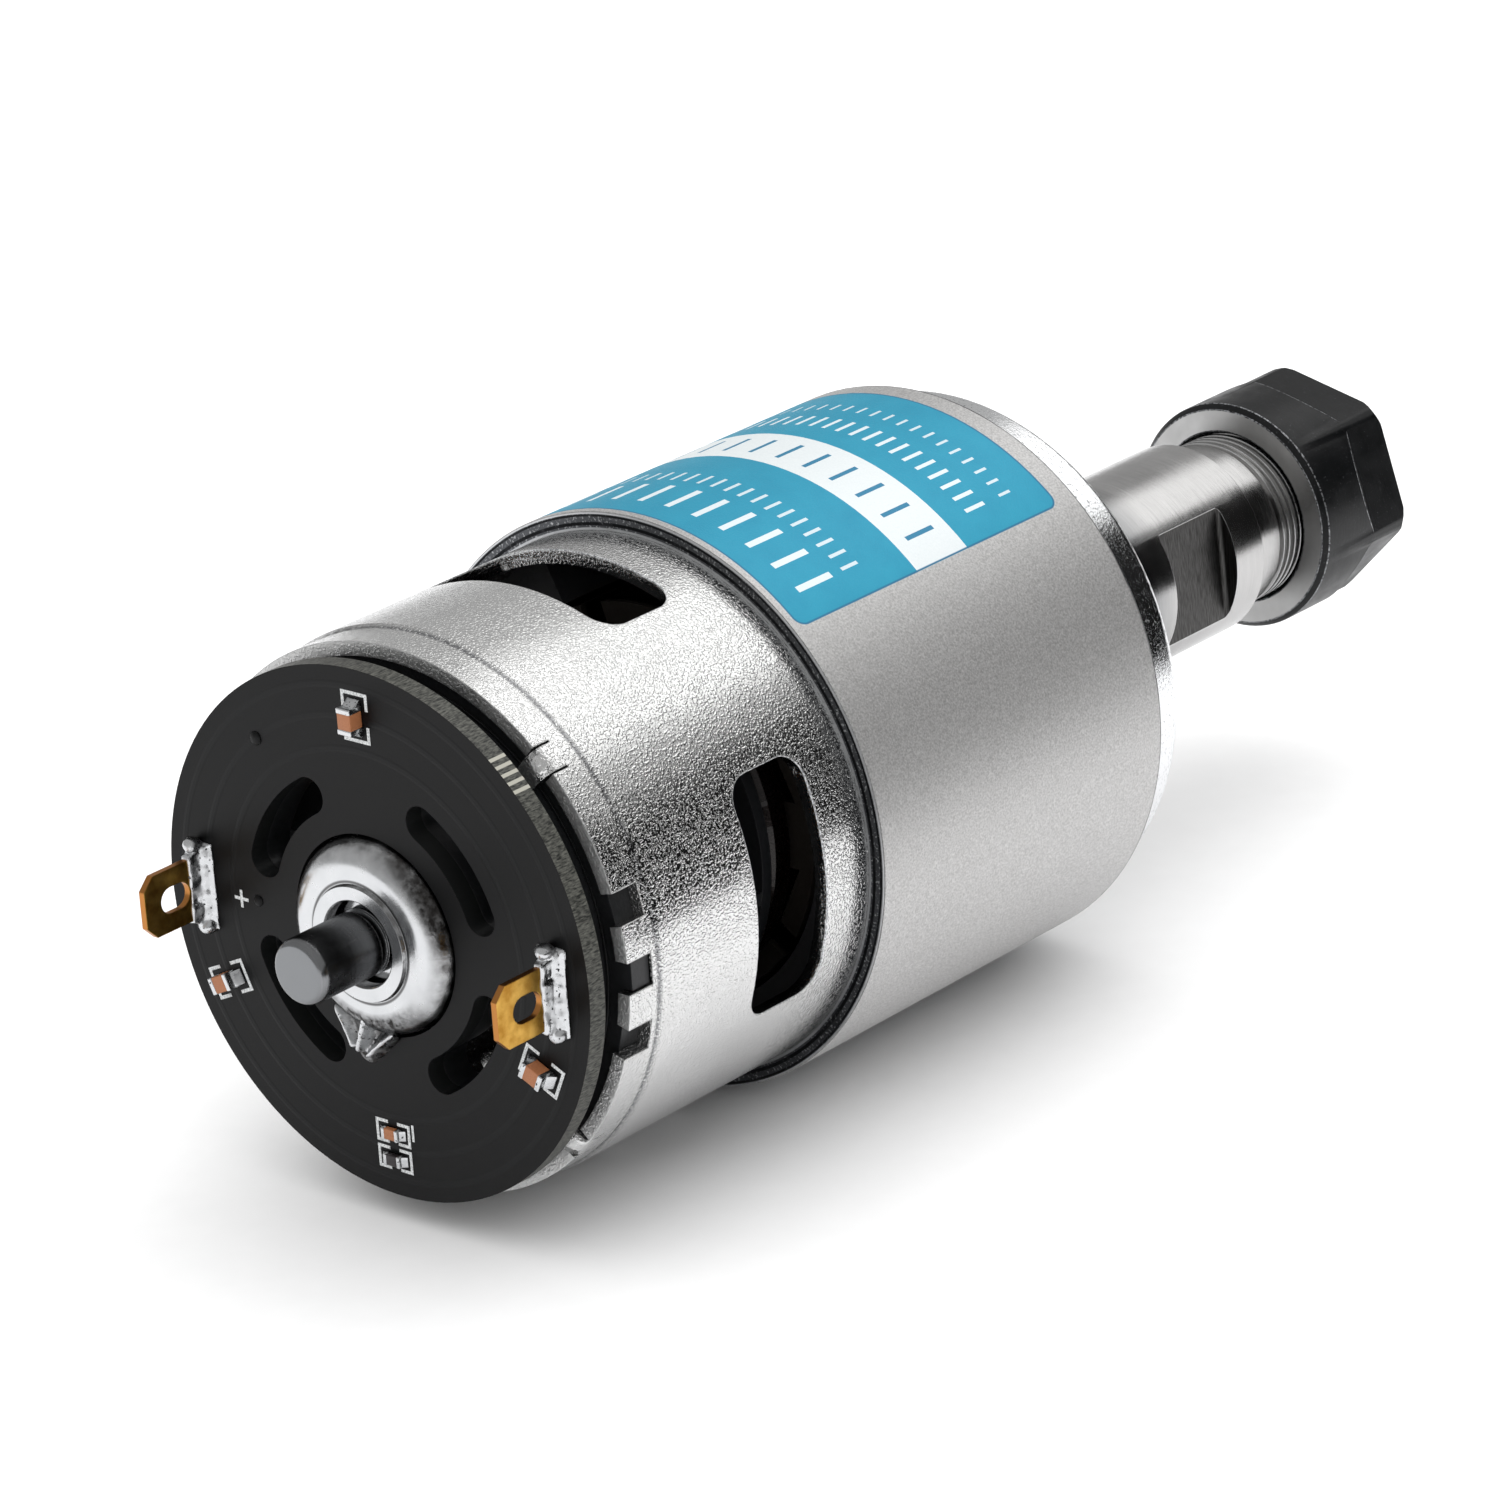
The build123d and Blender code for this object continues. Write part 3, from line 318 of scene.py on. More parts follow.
# The crease at CREASE_X is darkened in its colour: painted shade in the crease.
plate = blend(tree, product(tree, crease, spread(tree, pebble, 0.85, 0.1)), plate, "#7B7C7F")
plate = blend(tree, product(tree, shoulder, rest(tree, scrape)), plate, "#A6A8AB")
dull = total(tree, product(tree, spread(tree, scuff, 0.0, 1.0, 0.6, 0.75), 0.12),
             product(tree, sheared, 0.35))
feed(tree, shader, Base_Color=plate,
     Roughness=total(tree, tone(tree, cloud, 0.12, 0.19), dull))
height = total(tree, product(tree, pebble, rest(tree, product(tree, shoulder, 0.85))),
               product(tree, scuff, 0.5), product(tree, shoulder, scrape, 0.3),
               product(tree, crease, spread(tree, pebble, 1.0, 0.3), -0.7))
relief(tree, shader, height, 0.027, edge=0.2)
dress(can_steel, "motor_can")

cup_steel, tree, shader, place = finish("satin_drawn_cup", "#D4D6D8", Metallic=1.0)
pebble = grain(tree, place, 0.22, 2.0)
cloud = grain(tree, place, 1.6)
turning = spread(tree, maths(tree, "ABSOLUTE", facing(tree)), 1.0, 0.0, 0.6, 0.93)
# Where the cup's walls turn away from its axis they are darkened in patches: painted shade.
rim_shade = product(tree, turning, spread(tree, grain(tree, place, 2.4, 4.0), 0.15, 1.0, 0.35, 0.6))
_, out, spin = around(tree, place)
# Two patches are darkened, one high on the -Y side and one underneath: painted shade, not dirt.
side_shade = product(tree, near(tree, spin, radians(148), radians(14), radians(40)),
                  near(tree, out, 7.15, 0.35, 0.9))
under_shade = product(tree, near(tree, spin, radians(-92), radians(22), radians(55)),
                near(tree, out, 6.3, 0.4, 1.0))
painted_shade = product(tree, maths(tree, "MAXIMUM", side_shade, under_shade),
                spread(tree, grain(tree, place, 0.5, 4.0), 0.55, 1.0, 0.4, 0.6))
# A dark line in the groove of the coined ring: painted shade.
groove_shade = product(tree, near(tree, out, 4.6, 0.05, 0.16), 0.8)
bright = blend(tree, cloud, "#CCCED0", "#EBECED")
bright = blend(tree, rim_shade, bright, "#5E5C5B")
bright = blend(tree, maths(tree, "MAXIMUM", painted_shade, groove_shade), bright, "#363433")
feed(tree, shader, Base_Color=bright, Roughness=tone(tree, cloud, 0.16, 0.3))
relief(tree, shader, product(tree, pebble, spread(tree, turning, 1.0, 4.0)), 0.004, edge=0.05)
dress(cup_steel, "bearing_cup")

strip_steel, tree, shader, place = finish("rolled_strip_steel", "#85878A", Metallic=1.0,
                                          Roughness=0.34)
saw = grain(tree, place, 0.1, stretch=(0.4, 6, 6))
blotch = grain(tree, place, 2.5)
strip = blend(tree, blotch, "#3A3B3E", "#6C6E71")
scratch = spread(tree, grain(tree, place, 0.14, stretch=(1, 1.6, 1.6)), 0.0, 0.8, 0.56, 0.66)
strip = blend(tree, scratch, strip, "#C8CACC")
out = around(tree, place)[1]
# Bright lines at the end face's outer and inner edges, with dark lines just inside them: painted
# highlights and painted shade of rounded edges.
for middle, half, code in ((21.1, 0.14, "#C6C8CA"), (21.5, 0.16, "#1B1C1E"),
                           (22.33, 0.1, "#DADBDD"), (22.12, 0.1, "#202123")):
    line = near(tree, out, middle, half * 0.6, half)
    strip = blend(tree, product(tree, line, spread(tree, blotch, 0.6, 1.0, 0.3, 0.5)), strip, code)
feed(tree, shader, Base_Color=blend(tree, worn_edge(tree, 0.22), strip, "#E4E5E7"),
     Roughness=tone(tree, blotch, 0.28, 0.46))
relief(tree, shader, saw, 0.02, edge=0.1)
dress(strip_steel, "flux_ring")
print("plated finishes ready")

# %% [markdown]
# The label is foil with a matte lacquer, printed with a blue panel and a pale stripe. The
# printing could be a picture, but ink has no thickness and simple edges, so two masks draw it:
# the distance to a rounded rectangle, measured along the motor and round its skin. The real
# label's words are left off; the panel carries rows of plain ticks instead.

# %% Printed foil
LABEL_R = 22.45
PANEL_X = (-36.8, -6.4)
PANEL_TURN = (14.0, 133.1)
PANEL_CORNER = 1.0
STRIPE_X = (-23.3, -17.4)
TICKS_TURN = (30.0, 127.0)
FRONT_LINE_X = -4.5
foil, tree, shader, place = finish("printed_foil", "#D5D6D8", Metallic=0.85)
along, _, spin = around(tree, place)
skin_way = product(tree, spin, LABEL_R)


def skin_span(turns):
    """Two angles in degrees, as millimetres round the label."""
    return [radians(turn) * LABEL_R for turn in turns]


def rounded_box(*spans, corner):
    """Distance in millimetres to a rounded rectangle on the skin, negative inside it."""
    over = []
    for way, (low, high) in zip((along, skin_way), spans):
        straight = (high - low) / 2 - corner
        past = maths(tree, "SUBTRACT", away(tree, way, (low + high) / 2), straight)
        over.append(maths(tree, "POWER", maths(tree, "MAXIMUM", past, 0.0), 2.0))
    return maths(tree, "SUBTRACT", maths(tree, "SQRT", total(tree, *over)), corner)


def between(way, span):
    """1 where a place lies inside the span."""
    low, high = span
    return maths(tree, "COMPARE", way, (low + high) / 2, (high - low) / 2)


panel = rounded_box(PANEL_X, skin_span(PANEL_TURN), corner=PANEL_CORNER)
inside = spread(tree, panel, 1.0, 0.0, -0.03, 0.03)
rim = product(tree, inside, spread(tree, panel, 0.0, 1.0, -0.2, -0.12))
speck = grain(tree, place, 0.16)  # the lacquer's grit is nearer 0.05 mm, drawn coarser to show
mottle = grain(tree, place, 3.0)
blue = blend(tree, mottle, "#108BAC", "#229CBA")
pale = blend(tree, speck, "#D6DEE0", "#E8ECED")
ink = blend(tree, between(along, STRIPE_X), blue, pale)
ink = blend(tree, rim, ink, "#1E6E92")
# each row of ticks: its span along the motor, its step round it, its thickness and its colour
for row_x, step, thick, code in (((-34.4, -30.6), 2.6, 0.55, "#DCE6EA"),
                                 ((-29.4, -27.6), 1.3, 0.3, "#CFDDE3"),
                                 ((-21.9, -18.8), 2.6, 0.4, "#2C7FA3"),
                                 ((-14.9, -12.7), 1.3, 0.35, "#DCE6EA"),
                                 ((-10.9, -9.6), 1.3, 0.25, "#CFDDE3")):
    bar = maths(tree, "LESS_THAN", maths(tree, "PINGPONG", skin_way, step / 2), thick / 2)
    ticks = product(tree, bar, between(along, row_x), between(skin_way, skin_span(TICKS_TURN)))
    ink = blend(tree, ticks, ink, code)
silver = blend(tree, tone(tree, speck, 0.0, 1.0), "#B5B4B3", "#E2E1E0")
front_line = maths(tree, "GREATER_THAN", along, FRONT_LINE_X)
front_line = product(tree, front_line, spread(tree, mottle, 0.6, 1.0, 0.4, 0.6))
silver = blend(tree, front_line, silver, "#4A4B4D")
feed(tree, shader, Base_Color=blend(tree, inside, silver, ink),
     Metallic=spread(tree, inside, 0.76, 0.25),
     Roughness=tone(tree, speck, 0.44, 0.54))
relief(tree, shader, speck, 0.022)
dress(foil, "foil_label")
print("panel", PANEL_X, "mm along,", PANEL_TURN, "degrees round")

# %% [markdown]
# The circuit board is glass cloth under a matt black lacquer. Copper tracks lie under the
# lacquer and lift it by a few hundredths of a millimetre, in rings round the shaft. Its sawn
# edge shows the grey-green cloth, and five pale stripes where break-off tongues were.

# %% Board lacquer and its sawn edge
TRACK_RADII = (14.0, 16.5, 18.8)
RIM_FROM = 19.5  # nearer to the shaft than this, an edge is a vent's wall
COMB_TURN, COMB_HALF = radians(132.6), radians(5.0)
board_skin, tree, shader, place = finish("black_lacquered_board", "#0B0C0D", IOR=1.3)
_, out, spin = around(tree, place)
tracks = 0.0
for middle in TRACK_RADII:
    tracks = maths(tree, "MAXIMUM", tracks, near(tree, out, middle, 0.12, 0.3))
wall = maths(tree, "LESS_THAN", maths(tree, "ABSOLUTE", facing(tree)), 0.5)
cloth = grain(tree, place, 0.12, stretch=(4, 1, 1))
comb = product(tree, maths(tree, "COMPARE", spin, COMB_TURN, COMB_HALF),
               maths(tree, "GREATER_THAN", out, RIM_FROM))
ribs = maths(tree, "GREATER_THAN", maths(tree, "SINE", product(tree, spin, 180.0)), 0.3)
lacquer = blend(tree, product(tree, tracks, 0.6), "#050506", "#101112")
sawn = blend(tree, spread(tree, cloth, 0.0, 1.0, 0.35, 0.68), "#232422", "#60605A")
# The vents' walls are coloured near black: painted shade inside the vents.
sawn = blend(tree, maths(tree, "LESS_THAN", out, RIM_FROM), sawn, "#1B1C1C")
sawn = blend(tree, product(tree, comb, ribs), sawn, "#A9A79C")
dust = grain(tree, place, 0.1, 2.0)
feed(tree, shader, Base_Color=blend(tree, wall, lacquer, sawn),
     Roughness=tone(tree, dust, 0.34, 0.5))
height = total(tree, product(tree, tracks, 0.6), product(tree, dust, 0.15))
relief(tree, shader, height, 0.03, edge=0.05)
dress(board_skin, "circuit_board")

bell_moulding, tree, shader, place = finish("black_moulded_resin", "#1B1C1D", Roughness=0.36)
skin = grain(tree, place, 0.25)
feed(tree, shader, Base_Color=blend(tree, skin, "#161718", "#2A2B2D"))
relief(tree, shader, skin, 0.015, edge=0.1)
dress(bell_moulding, "end_bell")
print("board and moulding ready")

# %% [markdown]
# Brass strip is rolled, so its grain runs along the blade, and its punched edges glow darker
# and redder. Solder sets with a soft, lumpy skin that mirrors the light in patches. The chips
# are a fired ceramic, tan on the capacitors and near black on one resistor.

# %% Brass, solder and ceramic
blade_brass, tree, shader, place = finish("rolled_brass", "#D8A94E", Metallic=1.0)
# rolling lines are 0.02 mm apart on the real strip, drawn at 0.1 mm to show
lines = grain(tree, place, 0.1, 2.0, stretch=(18, 1, 1))
stain = grain(tree, place, 1.2)
sheet = blend(tree, spread(tree, stain, 0.0, 1.0, 0.35, 0.7), "#E6B75C", "#B98432")
cut = maths(tree, "LESS_THAN", maths(tree, "ABSOLUTE", facing(tree, "Y")), 0.6)
feed(tree, shader, Base_Color=blend(tree, cut, sheet, "#C08246"),
     Roughness=tone(tree, lines, 0.3, 0.36))
relief(tree, shader, lines, 0.0004, edge=0.12)
dress(blade_brass, "terminal_left", "terminal_right", "brush_box_left", "brush_box_right")

tin_solder, tree, shader, place = finish("set_solder", "#D9DADC", Metallic=1.0)
lump = grain(tree, place, 0.9, 2.0)
pit = spread(tree, grain(tree, place, 0.3, 1.0), 1.0, 0.0, 0.26, 0.33)
feed(tree, shader, Base_Color=blend(tree, pit, blend(tree, lump, "#C9CBCD", "#F0F1F2"), "#2E2F31"),
     Roughness=spread(tree, lump, 0.16, 0.42, 0.35, 0.65))
relief(tree, shader, total(tree, lump, product(tree, pit, -0.5)), 0.05)
dress(tin_solder, "terminal_solder", "ground_solder")

spiked_solder = tin_solder.copy()
spiked_solder.name = "spiked_solder_with_painted_shade"
tree, shader, place = reopen(spiked_solder)
# Low down, close to the board, the solder is darkened in patches: painted shade in its hollows.
low = spread(tree, around(tree, place)[0], 0.0, 1.0, -67.62, -67.2)
low = product(tree, low, spread(tree, grain(tree, place, 0.5), 0.7, 1.0, 0.4, 0.55))
feed(tree, shader, Base_Color=blend(tree, low, linked(shader, "Base Color"), "#3A3836"))


def fired(name, base, dark, light, depth, gloss):
    """A ceramic body with fine flecks."""
    material, tree, shader, place = finish(name, base, Roughness=gloss)
    fleck = grain(tree, place, 0.08, 2.0)
    feed(tree, shader, Base_Color=blend(tree, fleck, dark, light))
    relief(tree, shader, fleck, depth, edge=0.05)
    return material


chip_tan = fired("tan_fired_ceramic", "#A8683F", "#8F5634", "#BE7E54", 0.008, 0.5)
chip_dark = fired("dark_glazed_ceramic", "#2A2426", "#1E1A1C", "#3A3234", 0.006, 0.3)
dress(chip_tan, "chip_capacitors")
dress(chip_dark, "chip_resistors")
print("small finishes ready")

# %% [markdown]
# Turned and ground steel carries fine rings round its axis, left by the tool. They pull the
# highlight out along the part. The holder's two flats are milled, so their grain runs across.

# %% Ground steel
def turned_steel(name, dark, light, size, gloss, depth, edge):
    """Steel with fine rings round its axis, drawn a few times coarser than they are, to show."""
    material, tree, shader, place = finish(name, light, Metallic=1.0)
    rings = grain(tree, place, size, stretch=(1, 60, 60))
    stain = grain(tree, place, 2.2, 4.0)
    share = total(tree, product(tree, rings, 0.6), product(tree, stain, 0.4))
    worn = worn_edge(tree, edge * 1.5)
    feed(tree, shader, Base_Color=blend(tree, worn, blend(tree, share, dark, light), "#E4E5E6"),
         Roughness=tone(tree, stain, *gloss))
    relief(tree, shader, rings, depth, edge=edge)
    return material


FLATS_X, FLATS_HALF, FLATS_R = 21.1, 4.1, 7.96
holder_steel = turned_steel("ground_holder_steel", "#A3A2A1", "#DEDDDC", 0.06, (0.15, 0.23),
                            0.008, 0.1)
dress(holder_steel, "collet_holder")
tree, shader, place = reopen(holder_steel)
along, out, _ = around(tree, place)
milled = product(tree, maths(tree, "COMPARE", along, FLATS_X, FLATS_HALF),
                 maths(tree, "LESS_THAN", out, FLATS_R))
# The flats' dark grey-brown colour is a painted reflection. The strokes in them are the milling
# grain.
strokes = spread(tree, grain(tree, place, 0.06, stretch=(1, 1, 40)), 0.0, 1.0, 0.35, 0.65)
# Towards the motor the holder's colour is darkened: painted shade from the motor's front.
rear = spread(tree, along, 0.7, 0.0, 14.0, 17.5)
ground = blend(tree, rear, linked(shader, "Base Color"), "#7C7E80")
satin = add(tree, "Mix", {0: milled, 2: linked(shader, "Roughness"), 3: 0.38}).outputs[0]
feed(tree, shader, Roughness=satin,
     Base_Color=blend(tree, milled, ground, blend(tree, strokes, "#3E3D3C", "#656463")))

shaft_steel = turned_steel("ground_shaft_steel", "#5E5F61", "#A6A7A9", 0.06, (0.17, 0.3),
                           0.006, 0.1)
dress(shaft_steel, "shaft")
tree, shader, _ = reopen(shaft_steel)
# The rear end face is painted lighter than the shaft's side: painted reflection.
tip = blend(tree, 0.5, "#717375", "#9FA1A3")
feed(tree, shader, Base_Color=blend(tree, maths(tree, "LESS_THAN", facing(tree), -0.85),
                                    linked(shader, "Base Color"), tip))
dress(turned_steel("collet_spring_steel", "#9A9C9F", "#C6C8CA", 0.08, (0.16, 0.28), 0.004, 0.08),
      "collet")
dress(turned_steel("bearing_ring_steel", "#C4C6C8", "#E4E5E6", 0.06, (0.1, 0.18), 0.003, 0.08),
      "front_bearing_outer_ring", "front_bearing_inner_ring", "rear_bearing_outer_ring",
      "rear_bearing_inner_ring", "front_bearing_balls", "rear_bearing_balls")
dress(turned_steel("shield_and_cage_steel", "#A9ABAE", "#CFD1D3", 0.1, (0.22, 0.34), 0.004, 0.05),
      "front_bearing_shields", "rear_bearing_shields", "front_bearing_cage", "rear_bearing_cage",
      "spring_washer", "front_spacer", "rear_spacer")
print("ground steels ready")

# %% [markdown]
# The nut is blackened in hot salts. Black oxide is a thin crystal skin, so it shines like a
# dark glaze, strongest at a glancing angle, and it wears to bare steel first on its edges. The
# rear face was ground after blackening, so a mask turns it back to steel.

# %% Black oxide
GROUND_BEFORE_X = 35.66
oxide, tree, shader, place = finish("black_oxide_steel", "#101113", IOR=1.34)
rings = grain(tree, place, 0.12, stretch=(1, 30, 30))
haze = grain(tree, place, 1.8, 4.0)
skin = blend(tree, haze, "#08090A", "#141517")
ground = product(tree, maths(tree, "LESS_THAN", around(tree, place)[0], GROUND_BEFORE_X),
                 maths(tree, "LESS_THAN", facing(tree), -0.9))
fleck = spread(tree, grain(tree, place, 0.12), 0.0, 0.5, 0.66, 0.72)
steel = blend(tree, rings, "#A9A9A8", "#D2D2D1")
feed(tree, shader, Base_Color=blend(tree, ground, blend(tree, fleck, skin, "#7A7C7F"), steel),
     Metallic=maths(tree, "MAXIMUM", ground, fleck),
     Roughness=tone(tree, haze, 0.28, 0.42))
relief(tree, shader, total(tree, rings, haze, grain(tree, place, 0.09, 2.0)), 0.008)
dress(oxide, "collet_nut")
print("nut ready")

# %% [markdown]
# The pieces inside show only through the windows and vents, or when someone takes the motor
# apart. Most have the finish of their own stuff: sintered magnet, stacked laminations, a milled
# commutator, pressed carbon and spring steel. The lacquered copper wire and the fibre are
# coloured near black, a painted shade for the dark inside of the can.

# %% Inside pieces
def plain_stuff(name, dark, light, size, gloss, depth, metallic=0.0, stretch=(1, 1, 1), **sockets):
    """A finish with one grain, for pieces that are mostly hidden."""
    material, tree, shader, place = finish(name, light, Metallic=metallic, **sockets)
    speck = grain(tree, place, size, stretch=stretch)
    feed(tree, shader, Base_Color=blend(tree, speck, dark, light),
         Roughness=tone(tree, speck, *gloss))
    relief(tree, shader, speck, depth, edge=0.08)
    return material


dress(plain_stuff("sintered_ferrite", "#2C2C2E", "#48484B", 0.2, (0.55, 0.75), 0.02),
      "magnet_left", "magnet_right")
dress(plain_stuff("blued_spring_steel", "#4A4C52", "#7C7E84", 0.3, (0.25, 0.4), 0.01, 1.0),
      "magnet_clip_top", "magnet_clip_bottom", "brush_spring_left", "brush_spring_right")
dress(plain_stuff("stacked_laminations", "#2C2D30", "#56585B", 0.35, (0.3, 0.5), 0.03, 1.0,
                  (1, 80, 80)), "armature_core")
# The fibre and the wire below are coloured near black: painted shade.
dress(plain_stuff("fibre_in_painted_shade", "#201C18", "#322C26", 0.2, (0.6, 0.8), 0.03), "core_sheets")
dress(plain_stuff("copper_wire_in_painted_shade", "#0C0807", "#1F120E", 0.32, (0.2, 0.35), 0.05, 0.6,
                  (1, 12, 1), Coat_Weight=0.4), "windings")
dress(plain_stuff("worn_commutator_copper", "#8A4A2C", "#D98C62", 0.12, (0.2, 0.4), 0.01, 1.0,
                  (1, 40, 40)), "commutator_bars")
dress(plain_stuff("brown_moulded_phenolic", "#2C1A12", "#4A2E20", 0.25, (0.4, 0.6), 0.015),
      "commutator_core")
dress(plain_stuff("pressed_carbon", "#151516", "#2C2C2E", 0.15, (0.5, 0.8), 0.02),
      "brush_left", "brush_right")
dress(plain_stuff("dark_fan_moulding", "#141517", "#232427", 0.3, (0.35, 0.5), 0.02), "cooling_fan")
bare = [name for name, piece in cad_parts.items()
        if not piece.material_slots or "_" not in piece.material_slots[0].material.name]
print("nodes with a finish:", len(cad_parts) - len(bare), "left:", bare)

# %% [markdown]
# Small pieces are modelled by hand from a primitive. A few helpers do the same chores each
# time: start clean, choose faces in edit mode by their place, and settle a finished piece, which
# puts its place into its mesh, turns its faces outward and lets it ride on its body.

# %% Helpers for modelling
BOARD = -67.0  # the board's outer face, in millimetres along the motor
BOARD_X = BOARD * MM


def start():
    if bpy.context.object and bpy.context.object.mode != "OBJECT":
        bpy.ops.object.mode_set(mode="OBJECT")
    bpy.ops.object.select_all(action="DESELECT")


def take(piece, edit=False):
    """Makes this the one piece at work, perhaps in edit mode with all of it selected."""
    start()
    piece.select_set(True)
    bpy.context.view_layer.objects.active = piece
    if edit:
        bpy.ops.object.mode_set(mode="EDIT")
        bpy.ops.mesh.select_all(action="SELECT")


def millimetres(*values):
    return [value * MM for value in values]


def block(middle, size, finish_with):
    """A cube of this size in millimetres, open in edit mode."""
    start()
    bpy.ops.mesh.primitive_cube_add(size=1, location=millimetres(*middle), scale=millimetres(*size))
    bpy.ops.object.transform_apply(location=True, rotation=True, scale=True)
    piece = bpy.context.object
    piece.data.materials.append(finish_with)
    bpy.ops.object.mode_set(mode="EDIT")
    return piece


def ball(middle, radius, segments, rings, finish_with, **settings):
    """A ball of this radius in millimetres."""
    start()
    bpy.ops.mesh.primitive_uv_sphere_add(segments=segments, ring_count=rings, radius=radius * MM,
                                         location=millimetres(*middle), **settings)
    piece = bpy.context.object
    piece.data.materials.append(finish_with)
    return piece


def choose(kind, test):
    """In edit mode, selects the vertices, edges or faces that pass the test, and counts them."""
    bpy.ops.mesh.select_mode(type=kind)
    bpy.ops.mesh.select_all(action="DESELECT")
    form = bmesh.from_edit_mesh(bpy.context.edit_object.data)
    kinds = {"VERT": form.verts, "EDGE": form.edges, "FACE": form.faces}
    found = [element for element in kinds[kind] if test(element)]
    for element in found:
        element.select_set(True)
    form.select_flush_mode()
    bmesh.update_edit_mesh(bpy.context.edit_object.data)
    return len(found)


def drop(test):
    """Deletes the faces that pass the test."""
    choose("FACE", test)
    bpy.ops.mesh.delete(type="FACE")


def extrude(*way):
    bpy.ops.mesh.extrude_region_move(TRANSFORM_OT_translate={"value": millimetres(*way)})


def trim_at_board():
    """Cuts off what reaches more than 0.02 mm into the board, and closes the hole."""
    bpy.ops.mesh.bisect(plane_co=(BOARD_X + 0.02 * MM, 0, 0), plane_no=(1, 0, 0), use_fill=True,
                        clear_outer=True)


def modify(piece, kind, **settings):
    """Adds a modifier and applies it."""
    take(piece)
    made = piece.modifiers.new(kind.lower(), kind)
    for name, value in settings.items():
        setattr(made, name, value)
    bpy.ops.object.modifier_apply(modifier=made.name)
    return piece


def join(*pieces):
    start()
    for piece in pieces:
        piece.select_set(True)
    bpy.context.view_layer.objects.active = pieces[0]
    bpy.ops.object.join()
    return pieces[0]


def settle(piece, name, body, instead_of=(), angle=35):
    """Finishes a piece: place into the mesh, faces outward, smooth between sharp edges, rides."""
    take(piece)
    bpy.ops.object.transform_apply(location=True, rotation=True, scale=True)
    take(piece, edit=True)
    bpy.ops.mesh.remove_doubles(threshold=1e-7)
    bpy.ops.mesh.normals_make_consistent(inside=False)
    bpy.ops.object.mode_set(mode="OBJECT")
    bpy.ops.object.shade_smooth_by_angle(angle=radians(angle))
    piece.name = name
    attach(piece, body)
    if instead_of:
        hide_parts(*instead_of)
    print(name, len(piece.data.polygons), "faces")
    return piece


def on_board(radius, angle):
    """How far across the board, in millimetres, a place on a circle round the shaft is."""
    return 0, radius * cos(radians(angle)), radius * sin(radians(angle))


def turned_copy(piece, angle, shift):
    """A copy with its own mesh, turned about the shaft and then moved."""
    take(piece)
    bpy.ops.object.duplicate(linked=False)
    made = bpy.context.object
    turned = Matrix.Rotation(radians(angle), 4, "X") @ made.matrix_world
    made.matrix_world = Matrix.Translation(millimetres(*shift)) @ turned
    return made


# %% [markdown]
# A chip capacitor is a tan ceramic block with a tin cap on each end, and a little ramp of
# solder from each cap to the board. It is modelled once, lying on the shaft's line, and each
# copy is turned to its angle and pushed out to its radius. The two chip resistors are flatter.

# %% Chips
CAPACITOR_R = 16.6
CAPACITOR_TURNS = (90.0, 204.5, 336.0)
RESISTOR_Z = (-15.3, -17.35)
RAMP = 0.42


def chip(height, length, width, cap, stuff):
    """A chip on the board's face at the shaft's line, its length along Y, joined from blocks."""
    middle_x = BOARD - height / 2
    made = [block((middle_x, 0, 0), (height, length - 0.1, width), stuff)]
    for side in (-1, 1):
        made.append(block((middle_x - 0.02, side * (length - cap) / 2, 0),
                          (height + 0.05, cap, width + 0.06), tin_solder))
    for piece in made:
        modify(piece, "BEVEL", width=0.09 * MM, segments=3)
    ramp_y = length / 2 + 0.2
    for side in (-1, 1):
        ramp = block((BOARD - height * 0.3, side * ramp_y, 0), (height * 0.6, RAMP, width * 0.9),
                     tin_solder)
        choose("EDGE", lambda e: all(v.co.x < BOARD_X - 0.3 * MM * height
                                     and side * v.co.y > ramp_y * MM for v in e.verts))
        bpy.ops.transform.translate(value=millimetres(height * 0.52, 0, 0))
        bpy.ops.mesh.select_all(action="SELECT")
        bpy.ops.mesh.subdivide(number_cuts=2)
        made.append(modify(ramp, "BEVEL", width=0.04 * MM, segments=2))
    return join(*made)


def at_capacitors(pattern, name, slot, *instead_of):
    """Puts a copy of the pattern at each capacitor's place, and takes the pattern away."""
    for number, angle in enumerate(CAPACITOR_TURNS, 1):
        copy = turned_copy(pattern, angle, on_board(CAPACITOR_R, angle))
        settle(copy, f"{name}_{number}", "motor_body", instead_of)
    bpy.data.objects.remove(pattern)


at_capacitors(chip(1.25, 2.0, 1.25, 0.42, chip_tan), "chip_capacitor", "ceramic_chip",
              "chip_capacitors")
for number, (height_z, stuff) in enumerate(zip(RESISTOR_Z, (chip_tan, chip_dark)), 1):
    resistor = chip(0.5, 1.6, 0.85, 0.32, stuff)
    resistor.location.z = height_z * MM
    settle(resistor, f"chip_resistor_{number}", "motor_body", ["chip_resistors"])

# %% [markdown]
# The board's marks are screen-printed in white: a pair of brackets round each chip and a plus sign
# beside the left blade. Two domed test points stand beside them in the board's black lacquer. Ink
# this thick could be a mask in the lacquer's finish. As thin pieces they keep a crisp edge, and
# they catch the light a little.

# %% Printed marks
INK = 0.03  # thickness of the ink
mark_ink, tree, shader, place = finish("white_screen_ink", "#DFE1E2", Roughness=0.6)
fade = grain(tree, place, 0.15)
thin = spread(tree, fade, 0.0, 1.0, 0.4, 0.7)
feed(tree, shader, Base_Color=blend(tree, thin, "#E4E6E6", "#9FA2A4"))
relief(tree, shader, fade, 0.01)


